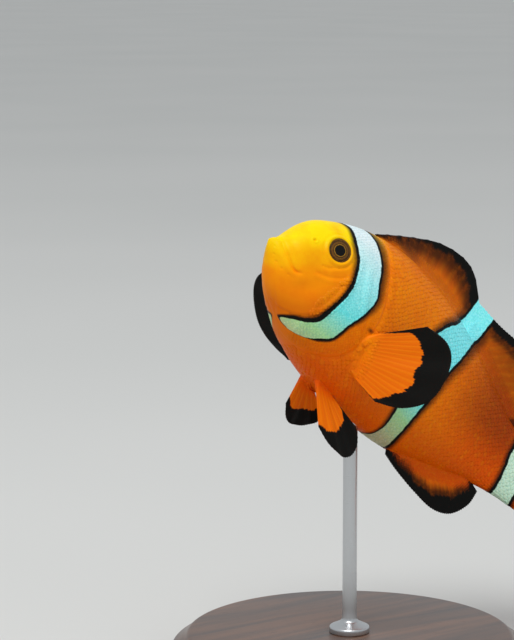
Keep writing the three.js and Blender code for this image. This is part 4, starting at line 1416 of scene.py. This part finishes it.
def build_stand(colours):
    """The turned base and the rod with its collar."""
    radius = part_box("stand_base")[1].x / MM
    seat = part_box("stand_base")[1].z / MM
    corners = [
        (0, 0), (radius, 0), (radius, seat - MOULDING), (radius - 0.45 * MOULDING, seat - 0.75 * MOULDING),
        (radius - MOULDING, seat - 0.35 * MOULDING), (radius - 1.3 * MOULDING, seat),
        (HOLE_RADIUS, seat), (HOLE_RADIUS, seat - HOLE_DEPTH), (0, seat - HOLE_DEPTH),
    ]
    radii = [0, 0.8, 0.7, 0.3, 0.4, 0.35, 0.15, 0.1, 0]
    outline = [corners[0]]
    for i in range(1, len(corners) - 1):
        outline += rounded(corners[i], corners[i - 1], corners[i + 1], radii[i])
    outline.append(corners[-1])
    mesh = new_mesh("turned_base", *lathe(outline, BASE_SIDES), MM)
    base = new_object("turned_base", mesh, wood_material(colours))
    rod_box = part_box("stand_rod")
    foot, top = rod_box[0].z / MM, rod_box[1].z / MM
    # up the rod, round its collar, and on to its tip
    outline = [
        (0, foot), (ROD_RADIUS, foot), (ROD_RADIUS, seat),
        *rounded((COLLAR_RADIUS, seat), (ROD_RADIUS, seat), (COLLAR_RADIUS, seat + 1), 0.15),
        *rounded((COLLAR_RADIUS, seat + 1), (COLLAR_RADIUS, seat), (2, seat + 1.6), 0.3),
        *rounded((1.3, seat + 1.9), (2.4, seat + 1.5), (ROD_RADIUS, seat + 4), 0.6),
        (ROD_RADIUS, seat + 4), *rounded((ROD_RADIUS, top), (ROD_RADIUS, seat), (0, top), 0.3), (0, top),
    ]
    mesh = new_mesh("steel_rod", *lathe(outline, ROD_SIDES), MM)
    return base, new_object("steel_rod", mesh, steel_material(colours))


# ------------------------------------------------------------------ settings


def length_in_mm(name, description, default, least):
    return bpy.props.FloatProperty(name=name, description=description, default=default, min=least)


class ClownfishSizes(bpy.types.PropertyGroup):
    coat_depth: length_in_mm("Coat depth", "How far the scales stand above the skin, in mm", 0.085, 0.05)
    body_scale: length_in_mm("Body scale", "Spacing of the body's scales, in mm", 1.0, 0.3)
    head_scale: length_in_mm("Head scale", "Spacing of the head's scales, in mm", 0.62, 0.2)
    fin_scale: length_in_mm("Fin scale", "Spacing of the scales at the fins' roots, in mm", 0.6, 0.2)
    ray_relief: length_in_mm("Ray relief", "How far a fin ray stands out of the membrane, in mm", 0.03, 0.0)
    cornea: length_in_mm("Cornea", "How far the front of the eye bulges, in mm", 0.4, 0.0)
    pupil: length_in_mm("Pupil", "Radius of the pupil, in mm", 0.95, 0.1)
    iris: length_in_mm("Iris", "Radius of the iris, in mm", 2.0, 0.5)


def colour_property(name, description, default):
    return bpy.props.FloatVectorProperty(name=name, description=description, default=linear(default), size=4,
                                         subtype="COLOR", min=0, max=1)


class ClownfishColours(bpy.types.PropertyGroup):
    # The head's tones, from forehead to throat, are partly painted light: brighter on top and darker
    # underneath.
    forehead: colour_property("Forehead", "Yellow of the top of the head", "#ffdc00")
    brow: colour_property("Brow", "Golden yellow over the eyes and on the snout", "#ffbc00")
    temple: colour_property("Temple", "Gold of the upper cheek", "#ffb400")
    cheek: colour_property("Cheek", "Orange of the cheek", "#ff9800")
    jowl: colour_property("Jowl", "Orange under the cheek", "#fa8c00")
    throat: colour_property("Throat", "Red orange of the throat", "#e07000")
    # The body's oranges are darker on the belly, along the back and towards the tail, partly as painted
    # shade.
    breast: colour_property("Breast", "Red orange of the breast and belly", "#ee5a00")
    flank: colour_property("Flank", "Orange of the flank", "#ff8400")
    ridge: colour_property("Ridge", "Orange along the back", "#e87200")
    rear: colour_property("Rear", "Red orange towards the tail", "#e45400")
    fin: colour_property("Fin", "Orange of the fins' membranes", "#e66a00")
    ray: colour_property("Ray", "Paler orange of the fin rays", "#f48406")
    # Brown of the haze round the bars and in from the fins' black, also used for painted shade.
    brown_haze_and_shade: colour_property("Haze", "Brown where the black fades out", "#1c0e04")
    black: colour_property("Black", "Black of the margins and lines", "#0c0c0a")
    # The bars are white; their cyan is a painted tint of blue light, and their green and grey green below
    # are painted reflected light and shade.
    bar_back: colour_property("Bar, back", "Icy white of the bars on the back", "#f2ffff")
    bar_flank: colour_property("Bar, flank", "Pale cyan of the bars", "#b0ffff")
    bar_cheek: colour_property("Bar, cheek", "Cyan of the head bar on the cheek", "#76fffc")
    bar_throat: colour_property("Bar, throat", "Green white of the head bar under the throat", "#b2ea9c")
    bar_belly: colour_property("Bar, belly", "Grey green of the bars under the belly", "#c4b684")
    bar_deep: colour_property("Bar, middle", "Deeper cyan of the middle bar", "#74fbff")
    bar_tail: colour_property("Bar, tail", "Grey white of the tail's bar", "#d6ecc8")
    bar_seam: colour_property("Bar, seams", "Blue grey between the white cells", "#4fb6c2")
    pupil: colour_property("Pupil", "Black of the pupil", "#030302")
    iris: colour_property("Iris", "Dark brown of the iris", "#6c4410")
    iris_dark: colour_property("Dark iris", "Near black round the iris", "#1d1207")
    gold: colour_property("Gold", "Gold of the iris's rings", "#b88420")
    wood_dark: colour_property("Dark wood", "Dark figure of the walnut", "#2c1a10")
    wood_pale: colour_property("Pale wood", "Pale figure of the walnut", "#6d4529")
    steel: colour_property("Steel", "Grey of the steel", "#c6c8ca")
    floor: colour_property("Floor", "Tone of the floor", "#d2d2cf")
    floor_light: colour_property("Light floor", "Lighter tone of the floor", "#dad9d6")


class ClownfishStage(bpy.types.PropertyGroup):
    azimuth: bpy.props.FloatProperty(
        name="Azimuth", description="Way the camera looks, round the fish", default=math.radians(-35.7),
        subtype="ANGLE")
    elevation: bpy.props.FloatProperty(
        name="Elevation", description="Camera's height as an angle", default=math.radians(8.58),
        subtype="ANGLE")
    distance: bpy.props.FloatProperty(
        name="Distance", description="Camera to the fish", default=0.42, unit="LENGTH")
    aside: bpy.props.FloatProperty(
        name="Aside", description="How far the camera stands left of the fish", default=0.01798,
        unit="LENGTH")
    above: bpy.props.FloatProperty(
        name="Above", description="How far the camera stands above the fish", default=0.0037, unit="LENGTH")
    lens: bpy.props.FloatProperty(name="Lens", description="Focal length in mm", default=142.2)
    key_power: bpy.props.FloatProperty(
        name="Key light", description="Power of the large soft light", default=4.8, subtype="POWER")
    surround: bpy.props.FloatProperty(
        name="Surround", description="Brightness of the studio round the fish", default=0.7, min=0)


# ------------------------------------------------------------------ operators

FLOOR_REACH = 20.0     # metres, as are the key light's distance and size
KEY_FROM = (-0.35, -0.3, 0.89)      # the way from the fish to the key light
KEY_DISTANCE, KEY_SIZE = 0.9, 0.5
SURROUND = "#e9edf0"   # colour of the studio round the fish
FLESH = ("head", "lower_jaw", "gill_cover_left", "gill_cover_right", "trunk", "tail_stalk",
         "dorsal_fin_spiny", "dorsal_fin_soft", "anal_fin", "caudal_fin", "pectoral_fin_left",
         "pectoral_fin_right", "pelvic_fin_left", "pelvic_fin_right")


class CLOWNFISH_OT_skin(bpy.types.Operator):
    """Build the one skin of body and fins"""

    bl_idname = "clownfish.skin"
    bl_label = "Skin"

    def execute(self, context):
        skin = build_skin(context.scene.clownfish_sizes)
        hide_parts(*FLESH)
        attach(skin, "root")
        return {"FINISHED"}


class CLOWNFISH_OT_scales(bpy.types.Operator):
    """Lay the coat of scales over the skin"""

    bl_idname = "clownfish.scales"
    bl_label = "Scales"

    def execute(self, context):
        for piece in build_scales(bpy.data.objects["skin"].data, context.scene.clownfish_sizes):
            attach(piece, "root")
        return {"FINISHED"}


class CLOWNFISH_OT_eyes(bpy.types.Operator):
    """Set both eyeballs"""

    bl_idname = "clownfish.eyes"
    bl_label = "Eyes"

    def execute(self, context):
        for side, node_name in ((LEFT, "eye_left"), (RIGHT, "eye_right")):
            eye = build_eye(side, context.scene.clownfish_sizes, context.scene.clownfish_colours)
            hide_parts(node_name)
            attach(eye, "root")
        return {"FINISHED"}


class CLOWNFISH_OT_stand(bpy.types.Operator):
    """Turn the base and the rod of the display stand"""

    bl_idname = "clownfish.stand"
    bl_label = "Stand"

    def execute(self, context):
        base, rod = build_stand(context.scene.clownfish_colours)
        for piece, node_name, slot in (
                (base, "stand_base", "stand_wood"), (rod, "stand_rod", "stand_steel")):
            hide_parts(node_name)
            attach(piece, "root")
        return {"FINISHED"}


class CLOWNFISH_OT_stage(bpy.types.Operator):
    """Set the floor, the lights and the camera"""

    bl_idname = "clownfish.stage"
    bl_label = "Stage"

    def execute(self, context):
        stage, colours = context.scene.clownfish_stage, context.scene.clownfish_colours
        corners = FLOOR_REACH * np.array([(-1, -1, 0), (1, -1, 0), (1, 1, 0), (-1, 1, 0)])
        mesh = new_mesh("floor", corners, np.array([[0, 1, 2, 3]]))
        floor = new_object("floor", mesh, floor_material(colours), smooth=False)
        place_camera(context.scene, stage)
        place_lights(context.scene, stage)
        return {"FINISHED"}


def view_axes(azimuth, elevation):
    """The camera's ways right, up and back."""
    back = Vector((math.sin(azimuth) * math.cos(elevation), -math.cos(azimuth) * math.cos(elevation),
                   math.sin(elevation)))
    right = Vector((math.cos(azimuth), math.sin(azimuth), 0))
    return right, back.cross(right), back


def place_camera(scene, stage):
    right, up, back = view_axes(stage.azimuth, stage.elevation)
    camera = bpy.data.objects.new("camera", bpy.data.cameras.new("camera"))
    scene.collection.objects.link(camera)
    place = Vector(PERCH_PLACE) * MM + back * stage.distance - right * stage.aside + up * stage.above
    camera.matrix_world = Matrix((right, up, back)).transposed().to_4x4()
    camera.location = place
    camera.data.lens = stage.lens
    camera.data.sensor_width = 36       # mm
    camera.data.clip_start = 0.01
    scene.camera = camera


def place_lights(scene, stage):
    """One large soft light over the fish, and an even surround."""
    target = Vector(PERCH_PLACE) * MM
    data = bpy.data.lights.new("key", "AREA")
    data.energy = stage.key_power
    data.shape = "DISK"
    data.size = KEY_SIZE
    light = bpy.data.objects.new("key", data)
    scene.collection.objects.link(light)
    away = Vector(KEY_FROM).normalized() * KEY_DISTANCE
    light.location = target + away
    light.rotation_euler = (-away).to_track_quat("-Z", "Y").to_euler()
    world = bpy.data.worlds.new("studio")
    scene.world = world
    world.use_nodes = True
    world.node_tree.nodes["Background"].inputs[0].default_value = linear(SURROUND)
    world.node_tree.nodes["Background"].inputs[1].default_value = stage.surround
    scene.view_settings.view_transform = "Standard"


class CLOWNFISH_PT_panel(bpy.types.Panel):
    """Lists the steps and their settings"""

    bl_idname = "CLOWNFISH_PT_panel"
    bl_label = "Clownfish"
    bl_space_type = "VIEW_3D"
    bl_region_type = "UI"
    bl_category = "Clownfish"

    def draw(self, context):
        for name in GROUPS:
            group = getattr(context.scene, name)
            box = self.layout.box()
            for key in group.bl_rna.properties.keys():
                if key not in {"rna_type", "name"}:
                    box.prop(group, key)
        for operator in OPERATORS:
            self.layout.operator(operator.bl_idname)


GROUPS = {"clownfish_sizes": ClownfishSizes, "clownfish_colours": ClownfishColours,
          "clownfish_stage": ClownfishStage}
OPERATORS = (CLOWNFISH_OT_stage, CLOWNFISH_OT_skin, CLOWNFISH_OT_scales, CLOWNFISH_OT_eyes,
             CLOWNFISH_OT_stand)


def register():
    for name, group in GROUPS.items():
        bpy.utils.register_class(group)
        setattr(bpy.types.Scene, name, bpy.props.PointerProperty(type=group))
    for cls in (*OPERATORS, CLOWNFISH_PT_panel):
        bpy.utils.register_class(cls)


def unregister():
    for cls in (CLOWNFISH_PT_panel, *reversed(OPERATORS)):
        bpy.utils.unregister_class(cls)
    for name, group in GROUPS.items():
        delattr(bpy.types.Scene, name)
        bpy.utils.unregister_class(group)


def main():
    register()
    bpy.ops.clownfish.stage()
    bpy.ops.clownfish.skin()
    bpy.ops.clownfish.scales()
    bpy.ops.clownfish.eyes()
    bpy.ops.clownfish.stand()


if __name__ == "__main__":
    main()
